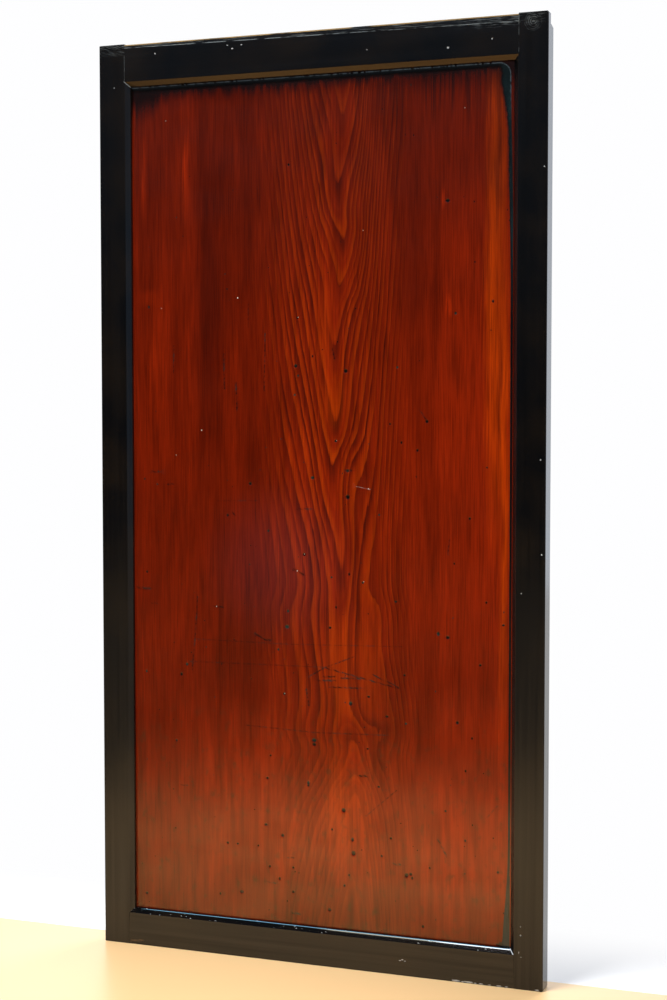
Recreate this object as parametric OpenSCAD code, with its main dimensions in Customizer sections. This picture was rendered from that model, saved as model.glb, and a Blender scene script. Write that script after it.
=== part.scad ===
// Sliding board door: one wide board held in a lacquered frame of two stiles and two rails.
// X runs across the door, Y from the front face to the back, and Z up from the foot.
// The origin is the middle of the foot. Sizes are in millimetres.

/* [Door] */
// Width over the two stiles
door_w = 890; // [700:1:1100]
// Height of the stiles
door_h = 1757; // [1500:1:2000]
// Thickness of the frame
door_t = 36; // [34:0.5:45]

/* [Frame] */
// Width of each stile
stile_w = 63; // [50:0.5:90]
// Height of the top rail
top_rail_h = 79; // [70:0.5:120]
// Height of the bottom rail
bottom_rail_h = 71; // [58:0.5:140]
// Height by which the stiles stand above the top rail
horn_h = 1.5; // [0.5:0.5:6]
// Width of the chamfer round the opening, the same across and into the wood
chamfer_w = 8.5; // [4:0.5:11]
// Radius that softens the inner edge of the chamfer
inner_round = 2.5; // [1:0.25:4]
// Radius that softens the outer edges of the stiles
outer_round = 1.5; // [0.5:0.25:4]
// Radius of the stiles' worn outer corners, at head and foot
corner_round = 3; // [1:0.5:8]

/* [Head tongue] */
// Thickness of the tongue that runs in the groove of the head track
tongue_t = 16; // [10:0.5:20]
// Height of the tongue above the highest point of its shoulder
tongue_h = 18; // [10:0.5:26]
// Fall of the sloping shoulder from the tongue to the back face
shoulder_fall = 5; // [1:0.5:8]

/* [Planed strip] */
// Height of the strip planed off the top rail's front edge, at its left end
planed_left = 6; // [2:0.5:12]
// Height of the planed strip at its right end
planed_right = 13; // [8:0.5:24]
// Depth of the planed strip at the top edge of its right end
planed_depth = 1.5; // [0.5:0.25:3]

/* [Panel] */
// Thickness of the board
panel_t = 10; // [8:0.5:12]
// Depth of the board's face behind the front of the frame
panel_setback = 15; // [13:0.5:16]
// Depth of the groove that holds the board
groove_d = 10; // [6:0.5:14]
// Room left at the bottom of the groove for the board to swell
swell_gap = 2; // [1:0.5:4]
// Play between the board and each wall of its groove
panel_play = 0.3; // [0.1:0.1:0.6]

/* [Rail joints] */
// Thickness of the through tenons
tenon_t = 12; // [8:0.5:14]
// Wood left between the tongue's shoulder and the top rail's tenon
head_margin = 3; // [2:0.5:8]
// Wood left below the bottom rail's tenon
foot_margin = 14; // [8:0.5:20]
// Wood left between each tenon and the groove
groove_margin = 3; // [1:0.5:6]
// Growth of the tenon towards its wedged end, at each side
tenon_flare = 1.5; // [0.5:0.25:3]
// Length of the tenon wedges
wedge_l = 34; // [20:1:45]
// Thickness of a wedge at its head
wedge_t = 3.5; // [2:0.25:5]
// Thickness of a wedge at its driven tip
wedge_tip = 0.6; // [0.4:0.1:1]
// Distance from a tenon's edge to the middle of its wedge
wedge_inset = 9; // [6:0.5:12]
// Play round the tenons and the batten keys
joint_play = 0.1; // [0.05:0.05:0.3]

/* [Back battens] */
// Height of each batten
batten_h = 32; // [24:1:50]
// Depth of the battens' faces below the back of the frame
batten_setback = 2; // [0.5:0.5:4]
// Depth of the dovetail key in the board
key_d = 3; // [2:0.5:4]
// Width of the key where it leaves the batten
key_w = 14; // [8:0.5:18]
// Growth of the key at each side, down to its depth
key_flare = 1.2; // [0.5:0.1:2]
// Length of the stub tenons in the stiles
stub_l = 14; // [8:0.5:22]
// Wood left above and below a stub tenon
stub_margin = 5; // [3:0.5:8]
// Wood left in front of and behind a stub tenon
stub_cheek = 2; // [1:0.25:3]
// Radius that softens the batten's back edges
batten_round = 2; // [0.5:0.25:3]

/* [Hidden] */
$fn = 64;
BATTENS = ["back_batten_1", "back_batten_2", "back_batten_3", "back_batten_4"];

// Overshoot of the cutting shapes past the faces they open
cut = 1;
// Run of a softened edge along each of two faces that meet at 45 degrees
inner_run = inner_round * tan(22.5);
// Depth of the mitred layer: the chamfer and the softened edge behind it
mitre_d = chamfer_w + inner_run;
// Heights of the opening's foot and head, and of the top rail's upper edge
sight_z0 = bottom_rail_h;
rail_top = door_h - horn_h;
sight_z1 = rail_top - top_rail_h;
// Half width between the stiles, and half width of the rails' front shoulders
sight_x = door_w / 2 - stile_w;
front_x = sight_x + chamfer_w;
// Depths of the board's back and the middle of the board, where the tenons lie
panel_back = panel_setback + panel_t;
tenon_y = panel_setback + panel_t / 2;
// How far the board enters its groove
panel_reach = groove_d - swell_gap;
// Foot and head of the tenons at the rails' shoulders
top_tenon = [
    sight_z1 + groove_d + groove_margin,
    rail_top - tongue_h - shoulder_fall - head_margin
];
bottom_tenon = [foot_margin, sight_z0 - groove_d - groove_margin];
// Front and back of a batten, and its spacing
batten_y = [panel_back, door_t - batten_setback];
batten_pitch = (sight_z1 - sight_z0) / (len(BATTENS) + 1);
// Colours of the lacquer, the board and the bare wood
lacquer = [0.09, 0.09, 0.095];
board = [0.34, 0.13, 0.07];
bare_wood = [0.62, 0.45, 0.28];

function batten_z(i) = sight_z0 + (i + 1) * batten_pitch;

// Puts the front face half the thickness before the origin
module centred() {
    translate([0, -door_t / 2, 0])
    children();
}

// Extrudes a profile of [depth, height] from x0 to x1
module along_x(x0, x1) {
    translate([x0, 0, 0])
    rotate([90, 0, 90])
    linear_extrude(x1 - x0)
    children();
}

// Extrudes an outline of [x, z] from depth y0 to y1
module along_y(y0, y1) {
    translate([0, y1, 0])
    rotate([90, 0, 0])
    linear_extrude(y1 - y0)
    children();
}

// What a round of radius r takes off a square corner at the origin, with the wood at +x and +y
module corner_waste(r) {
    difference() {
        translate([-cut, -cut])
        square(r + cut);
        translate([r, r])
        circle(r);
    }
}

// What the chamfer and its soft inner edge take off a member, with the wood at -x and the front at y 0
module chamfer_waste() {
    polygon([
        [-chamfer_w - cut, -cut],
        [cut, -cut],
        [cut, mitre_d],
        [0, mitre_d],
        [0, chamfer_w]
    ]);
    // The soft edge is an arc that meets the chamfer and the inner side
    difference() {
        polygon([
            [-inner_round, mitre_d],
            [0, mitre_d],
            [0, chamfer_w],
            [-inner_run * sin(45), chamfer_w - inner_run * cos(45)]
        ]);
        translate([-inner_round, mitre_d])
        circle(inner_round);
    }
}

// Cross-section of a frame member: x to the opening at 0, y from the front face to the back
module member_section(w) {
    difference() {
        translate([-w, 0])
        square([w, door_t]);
        chamfer_waste();
    }
}

// The groove's section, opening towards +x
module groove_section() {
    translate([-groove_d, panel_setback - panel_play])
    square([groove_d + cut, panel_t + 2 * panel_play]);
}

// What is cut off behind the tongue: a profile of [depth, height] with a sloping shoulder
module tongue_waste() {
    polygon([
        [tongue_t, rail_top - tongue_h],
        [door_t + cut, rail_top - tongue_h - shoulder_fall * (door_t + cut - tongue_t) / (door_t - tongue_t)],
        [door_t + cut, door_h + cut],
        [tongue_t, door_h + cut]
    ]);
}

// Outline of a rail's mitred front layer, with the opening's edge at height 0 and the rail above it
module mitred_outline(h) {
    polygon([
        [-sight_x, 0],
        [sight_x, 0],
        [front_x, chamfer_w],
        [front_x, h],
        [-front_x, h],
        [-front_x, chamfer_w]
    ]);
}

// Outline of a pair of through tenons in [x, z], wider at the wedged ends, which lie past the door's edges
module tenon_outline(z, play, past) {
    flare = tenon_flare * (stile_w + past) / stile_w + play;
    for (side = [-1, 1])
        polygon([
            [side * (sight_x - cut), z[0] - play],
            [side * sight_x, z[0] - play],
            [side * (door_w / 2 + past), z[0] - flare],
            [side * (door_w / 2 + past), z[1] + flare],
            [side * sight_x, z[1] + play],
            [side * (sight_x - cut), z[1] + play]
        ]);
}

// Outline of the four wedges of one rail, two in each tenon, whose heads lie past the door's edges
module wedge_outline(z, past) {
    head = wedge_t + (wedge_t - wedge_tip) * past / wedge_l;
    for (side = [-1, 1], zw = [z[0] + wedge_inset, z[1] - wedge_inset])
        translate([side * door_w / 2, zw])
        polygon([
            [side * past, -head / 2],
            [-side * wedge_l, -wedge_tip / 2],
            [-side * wedge_l, wedge_tip / 2],
            [side * past, head / 2]
        ]);
}

// A rail with its opening's edge at height 0 and its body above: chamfer, mitres and groove
module rail_body(h) {
    difference() {
        union() {
            along_x(-sight_x, sight_x)
            rotate(-90)
            member_section(h);
            intersection() {
                along_x(-front_x, front_x)
                rotate(-90)
                member_section(h);
                along_y(0, mitre_d)
                mitred_outline(h);
            }
        }
        along_x(-sight_x - cut, sight_x + cut)
        rotate(-90)
        groove_section();
    }
}

// The tenons of a rail, slotted for their wedges
module rail_tenons(z) {
    along_y(tenon_y - tenon_t / 2, tenon_y + tenon_t / 2)
    difference() {
        tenon_outline(z, 0, 0);
        wedge_outline(z, cut);
    }
}

module top_rail() {
    color(lacquer)
    centred()
    difference() {
        union() {
            translate([0, 0, sight_z1])
            rail_body(top_rail_h);
            rail_tenons(top_tenon);
        }
        along_x(-door_w, door_w)
        tongue_waste();
        planed_waste();
    }
}

// The thin wedge of wood planed off the top rail's front edge
module planed_waste() {
    slope = atan((planed_right - planed_left) / (2 * front_x));
    tilt = atan(planed_depth / planed_right);
    translate([-front_x, 0, rail_top - planed_left])
    rotate([0, slope, 0])
    rotate([-tilt, 0, 0])
    translate([-door_w, -door_t, 0])
    cube([3 * door_w, door_t, 2 * top_rail_h]);
}

module bottom_rail() {
    color(lacquer)
    centred()
    union() {
        translate([0, 0, sight_z0])
        mirror([0, 0, 1])
        rail_body(bottom_rail_h);
        rail_tenons(bottom_tenon);
    }
}

module left_stile() {
    color(lacquer)
    centred()
    difference() {
        translate([-sight_x, 0, 0])
        linear_extrude(door_h)
        difference() {
            member_section(stile_w);
            translate([-stile_w, 0])
            corner_waste(outer_round);
            translate([-stile_w, door_t])
            mirror([0, 1])
            corner_waste(outer_round);
        }
        // Groove for the board, from rail groove to rail groove
        translate([-sight_x, 0, sight_z0 - groove_d])
        linear_extrude(sight_z1 - sight_z0 + 2 * groove_d)
        groove_section();
        // Seats of the rails' mitred front layers
        along_y(-cut, mitre_d)
        translate([0, sight_z1])
        mitred_outline(top_rail_h + horn_h + cut);
        along_y(-cut, mitre_d)
        translate([0, sight_z0])
        mirror([0, 1])
        mitred_outline(bottom_rail_h + cut);
        // Through mortises for the rails
        along_y(tenon_y - tenon_t / 2 - joint_play, tenon_y + tenon_t / 2 + joint_play)
        for (z = [top_tenon, bottom_tenon])
            tenon_outline(z, joint_play, cut);
        // Blind mortises for the battens
        for (i = [0 : len(BATTENS) - 1])
            stub_tenons(i, joint_play);
        along_x(-door_w, door_w)
        tongue_waste();
        // Worn outer corners
        along_y(-cut, door_t + cut) {
            translate([-door_w / 2, 0])
            corner_waste(corner_round);
            translate([-door_w / 2, door_h])
            mirror([0, 1])
            corner_waste(corner_round);
        }
    }
}

module right_stile() {
    mirror([1, 0, 0])
    left_stile();
}

// Section of a dovetail key in [depth, height], about the batten's middle height
module key_section(play) {
    polygon([
        [panel_back + cut, -key_w / 2 - play],
        [panel_back, -key_w / 2 - play],
        [panel_back - key_d - play, -key_w / 2 - key_flare - play],
        [panel_back - key_d - play, key_w / 2 + key_flare + play],
        [panel_back, key_w / 2 + play],
        [panel_back + cut, key_w / 2 + play]
    ]);
}

module panel() {
    half_w = sight_x + panel_reach;
    color(board)
    centred()
    difference() {
        translate([-half_w, panel_setback, sight_z0 - panel_reach])
        cube([2 * half_w, panel_t, sight_z1 - sight_z0 + 2 * panel_reach]);
        for (i = [0 : len(BATTENS) - 1])
            translate([0, 0, batten_z(i)])
            along_x(-half_w - cut, half_w + cut)
            key_section(joint_play);
    }
}

// The stub tenons at both ends of a batten
module stub_tenons(i, play) {
    along_x(-sight_x - stub_l - play, sight_x + stub_l + play)
    translate([batten_y[0] + stub_cheek - play, batten_z(i) - batten_h / 2 + stub_margin - play])
    square([
        batten_y[1] - batten_y[0] - 2 * (stub_cheek - play),
        batten_h - 2 * (stub_margin - play)
    ]);
}

module back_batten(i) {
    color(lacquer)
    centred()
    union() {
        translate([0, 0, batten_z(i)])
        along_x(-sight_x, sight_x) {
            key_section(0);
            difference() {
                translate([batten_y[0], -batten_h / 2])
                square([batten_y[1] - batten_y[0], batten_h]);
                translate([batten_y[1], -batten_h / 2])
                mirror([1, 0])
                corner_waste(batten_round);
                translate([batten_y[1], batten_h / 2])
                rotate(180)
                corner_waste(batten_round);
            }
        }
        stub_tenons(i, 0);
    }
}

module tenon_wedges() {
    color(bare_wood)
    centred()
    along_y(tenon_y - tenon_t / 2, tenon_y + tenon_t / 2) {
        wedge_outline(top_tenon, 0);
        wedge_outline(bottom_tenon, 0);
    }
}

left_stile();
right_stile();
top_rail();
bottom_rail();
panel();
tenon_wedges();
for (i = [0 : len(BATTENS) - 1])
    back_batten(i);
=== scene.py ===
import math

import bmesh
import bpy
import numpy as np
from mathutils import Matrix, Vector
from mathutils.geometry import delaunay_2d_cdt


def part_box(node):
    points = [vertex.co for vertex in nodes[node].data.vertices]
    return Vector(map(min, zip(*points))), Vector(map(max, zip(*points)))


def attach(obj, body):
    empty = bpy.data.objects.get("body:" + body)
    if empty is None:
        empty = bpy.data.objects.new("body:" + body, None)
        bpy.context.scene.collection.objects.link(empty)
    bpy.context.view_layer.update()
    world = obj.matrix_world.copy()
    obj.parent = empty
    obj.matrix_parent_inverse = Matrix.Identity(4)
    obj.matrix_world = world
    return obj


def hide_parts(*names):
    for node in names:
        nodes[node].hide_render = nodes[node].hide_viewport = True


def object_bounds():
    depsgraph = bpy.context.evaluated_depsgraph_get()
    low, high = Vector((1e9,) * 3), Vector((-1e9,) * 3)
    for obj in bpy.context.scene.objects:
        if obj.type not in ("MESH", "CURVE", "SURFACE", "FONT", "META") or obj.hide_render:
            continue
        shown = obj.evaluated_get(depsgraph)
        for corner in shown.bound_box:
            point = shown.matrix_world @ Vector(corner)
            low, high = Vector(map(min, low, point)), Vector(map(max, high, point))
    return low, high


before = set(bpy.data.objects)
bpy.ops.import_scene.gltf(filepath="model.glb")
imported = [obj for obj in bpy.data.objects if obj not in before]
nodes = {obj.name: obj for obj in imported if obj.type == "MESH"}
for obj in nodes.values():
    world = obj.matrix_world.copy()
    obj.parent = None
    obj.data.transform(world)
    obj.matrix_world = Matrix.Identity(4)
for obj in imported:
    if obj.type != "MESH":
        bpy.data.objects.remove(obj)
cadLow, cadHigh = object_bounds()
scene = bpy.context.scene
mm = 0.001

# Faces and edges of the door that everything else is set out from, in metres
frontFace = cadLow.y
doorLeft = cadLow.x
doorTop = cadHigh.z
boardLow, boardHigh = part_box("panel")
boardFace = boardLow.y
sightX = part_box("right_stile")[0].x       # half the clear width between the stiles
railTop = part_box("top_rail")[1].z
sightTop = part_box("top_rail")[0].z        # under side of the top rail
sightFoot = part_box("bottom_rail")[1].z    # upper side of the bottom rail
chamferWidth = 8.5 * mm
jointX = sightX + chamferWidth            # where the rails' front layer ends against the stiles
headMitre = sightTop + chamferWidth       # where the top rail's chamfer ends
print("frame loaded: door", [round(v, 4) for v in cadHigh - cadLow])


# Camera, set where the four corners of the front face land as they do in the picture
cameraSetup = {
    "eye": Vector((1.204, -3.115, 1.060)),
    "tiltDown": 3.01,
    "turnLeft": 20.60,
    "lens": 63.9,
    "sensor": 36,
}
cameraData = bpy.data.cameras.new("camera")
cameraData.lens = cameraSetup["lens"]
cameraData.sensor_width = cameraSetup["sensor"]
camera = bpy.data.objects.new("camera", cameraData)
camera.location = cameraSetup["eye"]
camera.rotation_euler = (math.radians(90 - cameraSetup["tiltDown"]), 0,
                         math.radians(cameraSetup["turnLeft"]))
scene.collection.objects.link(camera)
scene.camera = camera
scene.view_settings.view_transform = "Standard"
print("camera set")


def toLinear(hexColour):
    channels = [int(hexColour[i:i + 2], 16) / 255 for i in (1, 3, 5)]
    return [c / 12.92 if c <= 0.04045 else ((c + 0.055) / 1.055) ** 2.4 for c in channels] + [1.0]


# Adds one node: its settings, then what goes into its sockets, either a link or a fixed value
def addNode(tree, kind, sockets=(), out=0, **settings):
    node = tree.nodes.new("ShaderNode" + kind)
    for name, value in settings.items():
        setattr(node, name, value)
    for name, value in dict(sockets).items():
        if isinstance(value, bpy.types.NodeSocket):
            tree.links.new(value, node.inputs[name])
        else:
            node.inputs[name].default_value = value
    return node.outputs[out] if node.outputs else node


# Settings that come up often: a Mix of colours, and a MapRange with soft ends
ofColours = {"out": 2, "data_type": "RGBA"}
softEnds = {"interpolation_type": "SMOOTHSTEP"}


def newMaterial(name):
    material = bpy.data.materials.new(name)
    material.use_nodes = True
    material.node_tree.nodes.clear()
    return material, material.node_tree


def finishMaterial(tree, shader):
    addNode(tree, "OutputMaterial", {"Surface": shader})


# Stage: a pale warm floor before the door and a white one behind it, which runs out into the white backdrop
stage = {
    "floorColour": "#EBC590",
    "floorRoughness": 0.34,
    "floorShine": 0.9,
    "backColour": "#FEFEFF",
    "backRoughness": 0.8,
    "seamY": 0.045,
    "halfWidth": 9.0,
    "frontReach": 7.0,
    "backReach": 7.0,
    "whiteFrom": 0.02,     # the floor behind starts to glow towards the backdrop here
    "whiteBy": 0.40,
}


# Matt paint, rolled on: an even warm colour with a broad soft shine
def floorMaterial():
    material, tree = newMaterial("Floor, pale matt paint")
    shader = addNode(tree, "BsdfPrincipled", {"Base Color": toLinear(stage["floorColour"]),
                                              "Roughness": stage["floorRoughness"],
                                              "Specular IOR Level": stage["floorShine"]})
    finishMaterial(tree, shader)
    return material


# The same in white, lit up to the white of the backdrop further back, so that no line shows
def backdropMaterial():
    material, tree = newMaterial("Backdrop, matt white paint")
    place = addNode(tree, "TexCoord", out="Object")
    depth = addNode(tree, "SeparateXYZ", {0: place}, out="Y")
    far = addNode(tree, "MapRange", {0: depth, 1: stage["whiteFrom"], 2: stage["whiteBy"]}, **softEnds)
    white = toLinear(stage["backColour"])
    matt = addNode(tree, "BsdfPrincipled", {"Base Color": white, "Roughness": stage["backRoughness"]})
    glow = addNode(tree, "Emission", {"Color": white, "Strength": 1.0})
    finishMaterial(tree, addNode(tree, "MixShader", {0: far, 1: matt, 2: glow}))
    return material


def stagePlane(name, yLow, yHigh, material):
    half = stage["halfWidth"]
    mesh = bpy.data.meshes.new(name)
    corners = [(-half, yLow, 0), (half, yLow, 0), (half, yHigh, 0), (-half, yHigh, 0)]
    mesh.from_pydata(corners, [], [(0, 1, 2, 3)])
    mesh.materials.append(material)
    plane = bpy.data.objects.new(name, mesh)
    scene.collection.objects.link(plane)


stagePlane("floor", -stage["frontReach"], stage["seamY"], floorMaterial())
stagePlane("backdropFloor", stage["seamY"], stage["backReach"], backdropMaterial())

# Room light: white behind the door and overhead, and dark out in front of it, a little lighter up there and
# blue from a window on the right. Each edge runs between two sines of the direction.
room = {
    "backColour": "#EFF5FF",
    "backStrength": 1.5,
    "backEdge": (-0.20, 0.04),    # how far forward the white reaches
    "darkColour": "#8FA0B4",
    "darkStrength": 0.06,
    "highColour": "#B4C6DE",
    "highStrength": 0.36,
    "highFrom": (0.02, 0.42),
    "highUpTo": (0.62, 0.85),
    "windowColour": "#9DBCE0",
    "windowStrength": 0.40,
    "windowEdge": (0.55, 0.95),
    "backdrop": "#FEFEFF",
    "diffuseShare": 0.26,         # how much of it reaches matt surfaces, the lamps do the rest
}


def lightRoom():
    world = bpy.data.worlds.new("room")
    scene.world = world
    world.use_nodes = True
    tree = world.node_tree
    tree.nodes.clear()
    backLight, darkLight, highLight, windowLight = (
        [c * room[part + "Strength"] for c in toLinear(room[part + "Colour"])]
        for part in ("back", "dark", "high", "window"))
    direction = addNode(tree, "TexCoord", out="Generated")
    towardsRight, towardsBack, upwards = addNode(tree, "SeparateXYZ", {0: direction}).node.outputs
    start, end = room["highFrom"]
    rising = addNode(tree, "MapRange", {0: upwards, 1: start, 2: end})
    start, end = room["highUpTo"]
    belowCeiling = addNode(tree, "MapRange", {0: upwards, 1: start, 2: end, 3: 1.0, 4: 0.0})
    highShare = addNode(tree, "Math", {0: rising, 1: belowCeiling}, operation="MULTIPLY")
    lit = addNode(tree, "Mix", {0: highShare, 6: darkLight, 7: highLight}, **ofColours)
    start, end = room["windowEdge"]
    windowShare = addNode(tree, "MapRange", {0: towardsRight, 1: start, 2: end}, **softEnds)
    lit = addNode(tree, "Mix", {0: windowShare, 6: lit, 7: windowLight}, **ofColours)
    start, end = room["backEdge"]
    backShare = addNode(tree, "MapRange", {0: towardsBack, 1: start, 2: end}, **softEnds)
    lit = addNode(tree, "Mix", {0: backShare, 6: lit, 7: backLight}, **ofColours)
    diffuseRay = addNode(tree, "LightPath", out="Is Diffuse Ray")
    diffuseCut = addNode(tree, "MapRange", {0: diffuseRay, 3: 1.0, 4: room["diffuseShare"]})
    roomLight = addNode(tree, "Background", {"Color": lit, "Strength": diffuseCut})
    plainWhite = addNode(tree, "Background", {"Color": toLinear(room["backdrop"]), "Strength": 1.0})
    cameraRay = addNode(tree, "LightPath", out="Is Camera Ray")
    shown = addNode(tree, "MixShader", {0: cameraRay, 1: roomLight, 2: plainWhite})
    addNode(tree, "OutputWorld", {"Surface": shown})


lightRoom()

# Lamps: name, kind, place, what it is aimed at, watts, size, and the cone of a spot in degrees
lamps = [
    ("floorPool", "SPOT", (-0.20, -0.80, 3.30), (-0.20, -0.72, 0.0), 690, 0.40, 56),
    ("doorLight", "SPOT", (2.40, -3.60, 1.75), (0.0, 0.0, 1.25), 480, 0.35, 40),
    ("backSoft", "AREA", (0.90, 2.50, 2.50), (0.0, 0.0, 0.90), 75, 1.60, 0),
]
for name, kind, place, aim, watts, size, cone in lamps:
    lampData = bpy.data.lights.new(name, kind)
    lampData.energy = watts
    if kind == "SPOT":
        lampData.shadow_soft_size = size
        lampData.spot_size = math.radians(cone)
        lampData.spot_blend = 1.0
    else:
        lampData.size = size
    lamp = bpy.data.objects.new(name, lampData)
    lamp.location = place
    lamp.rotation_euler = (Vector(aim) - Vector(place)).to_track_quat("-Z", "Y").to_euler()
    lamp.visible_camera = False
    lamp.visible_glossy = False
    scene.collection.objects.link(lamp)

# Three ceiling lamps that only the bottom rail mirrors, a long blue one near the door and two short white
# ones before it: they draw the line on its chamfer, brighter to the right.
# Place, length, width, watts and colour.
ceilingLamps = [
    ((-0.80, -0.20, 2.40), 3.4, 0.36, 52, "#86CBEC"),
    ((-0.64, -0.53, 2.40), 0.38, 0.36, 4, "#FFF6DC"),
    ((0.00, -0.53, 2.40), 0.9, 0.36, 30, "#F4F8FF"),
]
mirrors = bpy.data.collections.new("mirrorsCeilingLamps")
for place, length, width, watts, colour in ceilingLamps:
    lampData = bpy.data.lights.new("ceilingLamp", "AREA")
    lampData.shape = "RECTANGLE"
    lampData.size = length
    lampData.size_y = width
    lampData.energy = watts
    lampData.color = toLinear(colour)[:3]
    lamp = bpy.data.objects.new("ceilingLamp", lampData)
    lamp.location = place
    lamp.visible_camera = False
    lamp.visible_diffuse = False
    lamp.light_linking.receiver_collection = mirrors
    scene.collection.objects.link(lamp)
print("stage and lights set")


# Welded copy of a CAD node with its flat faces whole again
def weldedCopy(nodeName, weldWithin=0.001 * mm, flatWithin=0.05):
    bm = bmesh.new()
    bm.from_mesh(nodes[nodeName].data)
    bmesh.ops.remove_doubles(bm, verts=bm.verts, dist=weldWithin)
    bmesh.ops.dissolve_limit(bm, angle_limit=math.radians(flatWithin), verts=bm.verts, edges=bm.edges)
    return bm


def frontOf(bm):
    return max((f for f in bm.faces if f.normal.y < -0.999), key=lambda f: f.calc_area())


# Rubs down the long sharp edges that run along one axis
def softenArrises(bm, axis, shortest, width, sharpFrom=30):
    chosen = []
    for edge in bm.edges:
        run = edge.verts[1].co - edge.verts[0].co
        if run.length < shortest or abs(run.normalized()[axis]) < 0.99:
            continue
        if edge.is_convex and edge.calc_face_angle() > math.radians(sharpFrom):
            chosen.append(edge)
    bmesh.ops.bevel(bm, geom=chosen, offset=width, segments=2, profile=0.5, affect="EDGES",
                    clamp_overlap=False)


def shadeByAngle(bm, angle=32):
    limit = math.radians(angle)
    for face in bm.faces:
        face.smooth = True
    for edge in bm.edges:
        edge.smooth = edge.is_manifold and edge.calc_face_angle() < limit


def addPiece(name, bm, materials, replaced):
    mesh = bpy.data.meshes.new(name)
    bm.to_mesh(mesh)
    bm.free()
    for material in materials:
        mesh.materials.append(material)
    piece = bpy.data.objects.new(name, mesh)
    scene.collection.objects.link(piece)
    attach(piece, "root")
    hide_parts(*replaced)
    piece.modifiers.new("evenShading", "WEIGHTED_NORMAL").keep_sharp = True
    return piece


# A mark is a place on a face, x from the door's middle and z up, with its width and height, all in mm.
# Rings of points round a mark let the face dip there.
markRings = (0.5, 0.85, 1.25, 1.8)    # shares of its half width and height
eighthTurn = math.pi / 4


def ringPoints(mark):
    x, z, wide, tall = mark
    spots = [(x, z)]
    for ring in markRings:
        for k in range(8):
            angle = (k + 2 * ring) * eighthTurn
            spots.append((x + math.cos(angle) * ring * wide / 2, z + math.sin(angle) * ring * tall / 2))
    return spots


# How far points lie in a mark: 1 in its middle, 0 outside
def markShare(x, z, mark, rim=1.25, soft=0.5):
    away = np.hypot((x - mark[0]) / (mark[2] / 2), (z - mark[1]) / (mark[3] / 2))
    return np.clip((rim - away) / soft, 0, 1)


# Cuts the flat front face of a piece into triangles that take in the given points in mm, with room for the
# named fields. Gives back the new points' places in mm and the points themselves.
def patchFront(bm, inner, fieldNames, rimGap=0.4, mergeWithin=0.02):
    for name in fieldNames:
        bm.verts.layers.float.new(name)
    face = frontOf(bm)
    rim = list(face.verts)
    outline = [Vector((v.co.x, v.co.z)) / mm for v in rim]
    lowX, highX = min(p.x for p in outline) + rimGap, max(p.x for p in outline) - rimGap
    lowZ, highZ = min(p.y for p in outline) + rimGap, max(p.y for p in outline) - rimGap
    kept = [Vector(p) for p in inner if lowX < p[0] < highX and lowZ < p[1] < highZ]
    ring = [(i, (i + 1) % len(rim)) for i in range(len(rim))]
    spots, _, triangles, origins, *_ = delaunay_2d_cdt(outline + kept, ring, [], 1, mergeWithin)
    depth = rim[0].co.y
    corners, fresh = [], []
    for spot, origin in zip(spots, origins):
        onRim = [i for i in origin if i < len(rim)]
        corners.append(rim[onRim[0]] if onRim else bm.verts.new((spot.x * mm, depth, spot.y * mm)))
        if not onRim:
            fresh.append(corners[-1])
    bmesh.ops.delete(bm, geom=[face], context="FACES_ONLY")
    for triangle in triangles:
        bm.faces.new([corners[i] for i in triangle])
    loose = [v for v in fresh if not v.link_faces]
    fresh = [v for v in fresh if v.link_faces]
    bmesh.ops.delete(bm, geom=loose, context="VERTS")
    x = np.array([v.co.x for v in fresh]) / mm
    z = np.array([v.co.z for v in fresh]) / mm
    return x, z, fresh


# Sinks the new points and writes what the material reads from them
def dressPoints(bm, fresh, sunk, fields):
    for vert, depth in zip(fresh, sunk):
        vert.co.y += depth * mm
    for name, values in fields.items():
        layer = bm.verts.layers.float[name]
        for vert, value in zip(fresh, values):
            vert[layer] = value


# Place on the door in mm
def placeInMm(tree):
    place = addNode(tree, "TexCoord", out="Object")
    return addNode(tree, "VectorMath", {0: place, "Scale": 1 / mm}, operation="SCALE")


# 1 where a value in mm is within half of zero, falling to 0 over soft
def nearZero(tree, value, half, soft):
    size = addNode(tree, "Math", {0: value}, operation="ABSOLUTE")
    return addNode(tree, "MapRange", {0: size, 1: half, 2: half + soft, 3: 1.0, 4: 0.0})


def multiplied(tree, *values):
    product = values[0]
    for value in values[1:]:
        product = addNode(tree, "Math", {0: product, 1: value}, operation="MULTIPLY")
    return product


# Smooth curve through given points, each a value and what it gives
def curveThrough(tree, value, points):
    starts = [point[0] for point in points]
    gives = [point[1] for point in points]
    lowest, span = min(gives), max(gives) - min(gives)
    part = addNode(tree, "MapRange", {0: value, 1: float(starts[0]), 2: float(starts[-1])})
    shaped = addNode(tree, "FloatCurve", {"Value": part})
    curve = shaped.node.mapping.curves[0]
    length = starts[-1] - starts[0]
    spots = [((start - starts[0]) / length, (give - lowest) / span) for start, give in points]
    curve.points[0].location = spots[0]
    curve.points[1].location = spots[-1]
    for spot in spots[1:-1]:
        curve.points.new(*spot)
    for point in curve.points:
        point.handle_type = "AUTO_CLAMPED"
    shaped.node.mapping.update()
    return addNode(tree, "MapRange", {0: shaped, 3: lowest, 4: lowest + span})


# Noise stretched to the given sizes in mm, cut between two levels. The dictionaries below keep each pattern
# as those sizes, the two levels and the noise's detail.
def patches(tree, inMm, sizes, low, high, detail):
    scaled = addNode(tree, "VectorMath", {0: inMm, 1: [1 / size for size in sizes]}, operation="MULTIPLY")
    noise = addNode(tree, "TexNoise", {"Vector": scaled, "Scale": 1.0, "Detail": detail})
    return addNode(tree, "MapRange", {0: noise, 1: low, 2: high})


# Lays colours over one another, each as a share and its name in the palette
def layColours(tree, colour, layers, palette):
    for share, shade in layers:
        colour = addNode(tree, "Mix", {0: share, 6: colour, 7: toLinear(palette[shade])}, **ofColours)
    return colour


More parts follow.
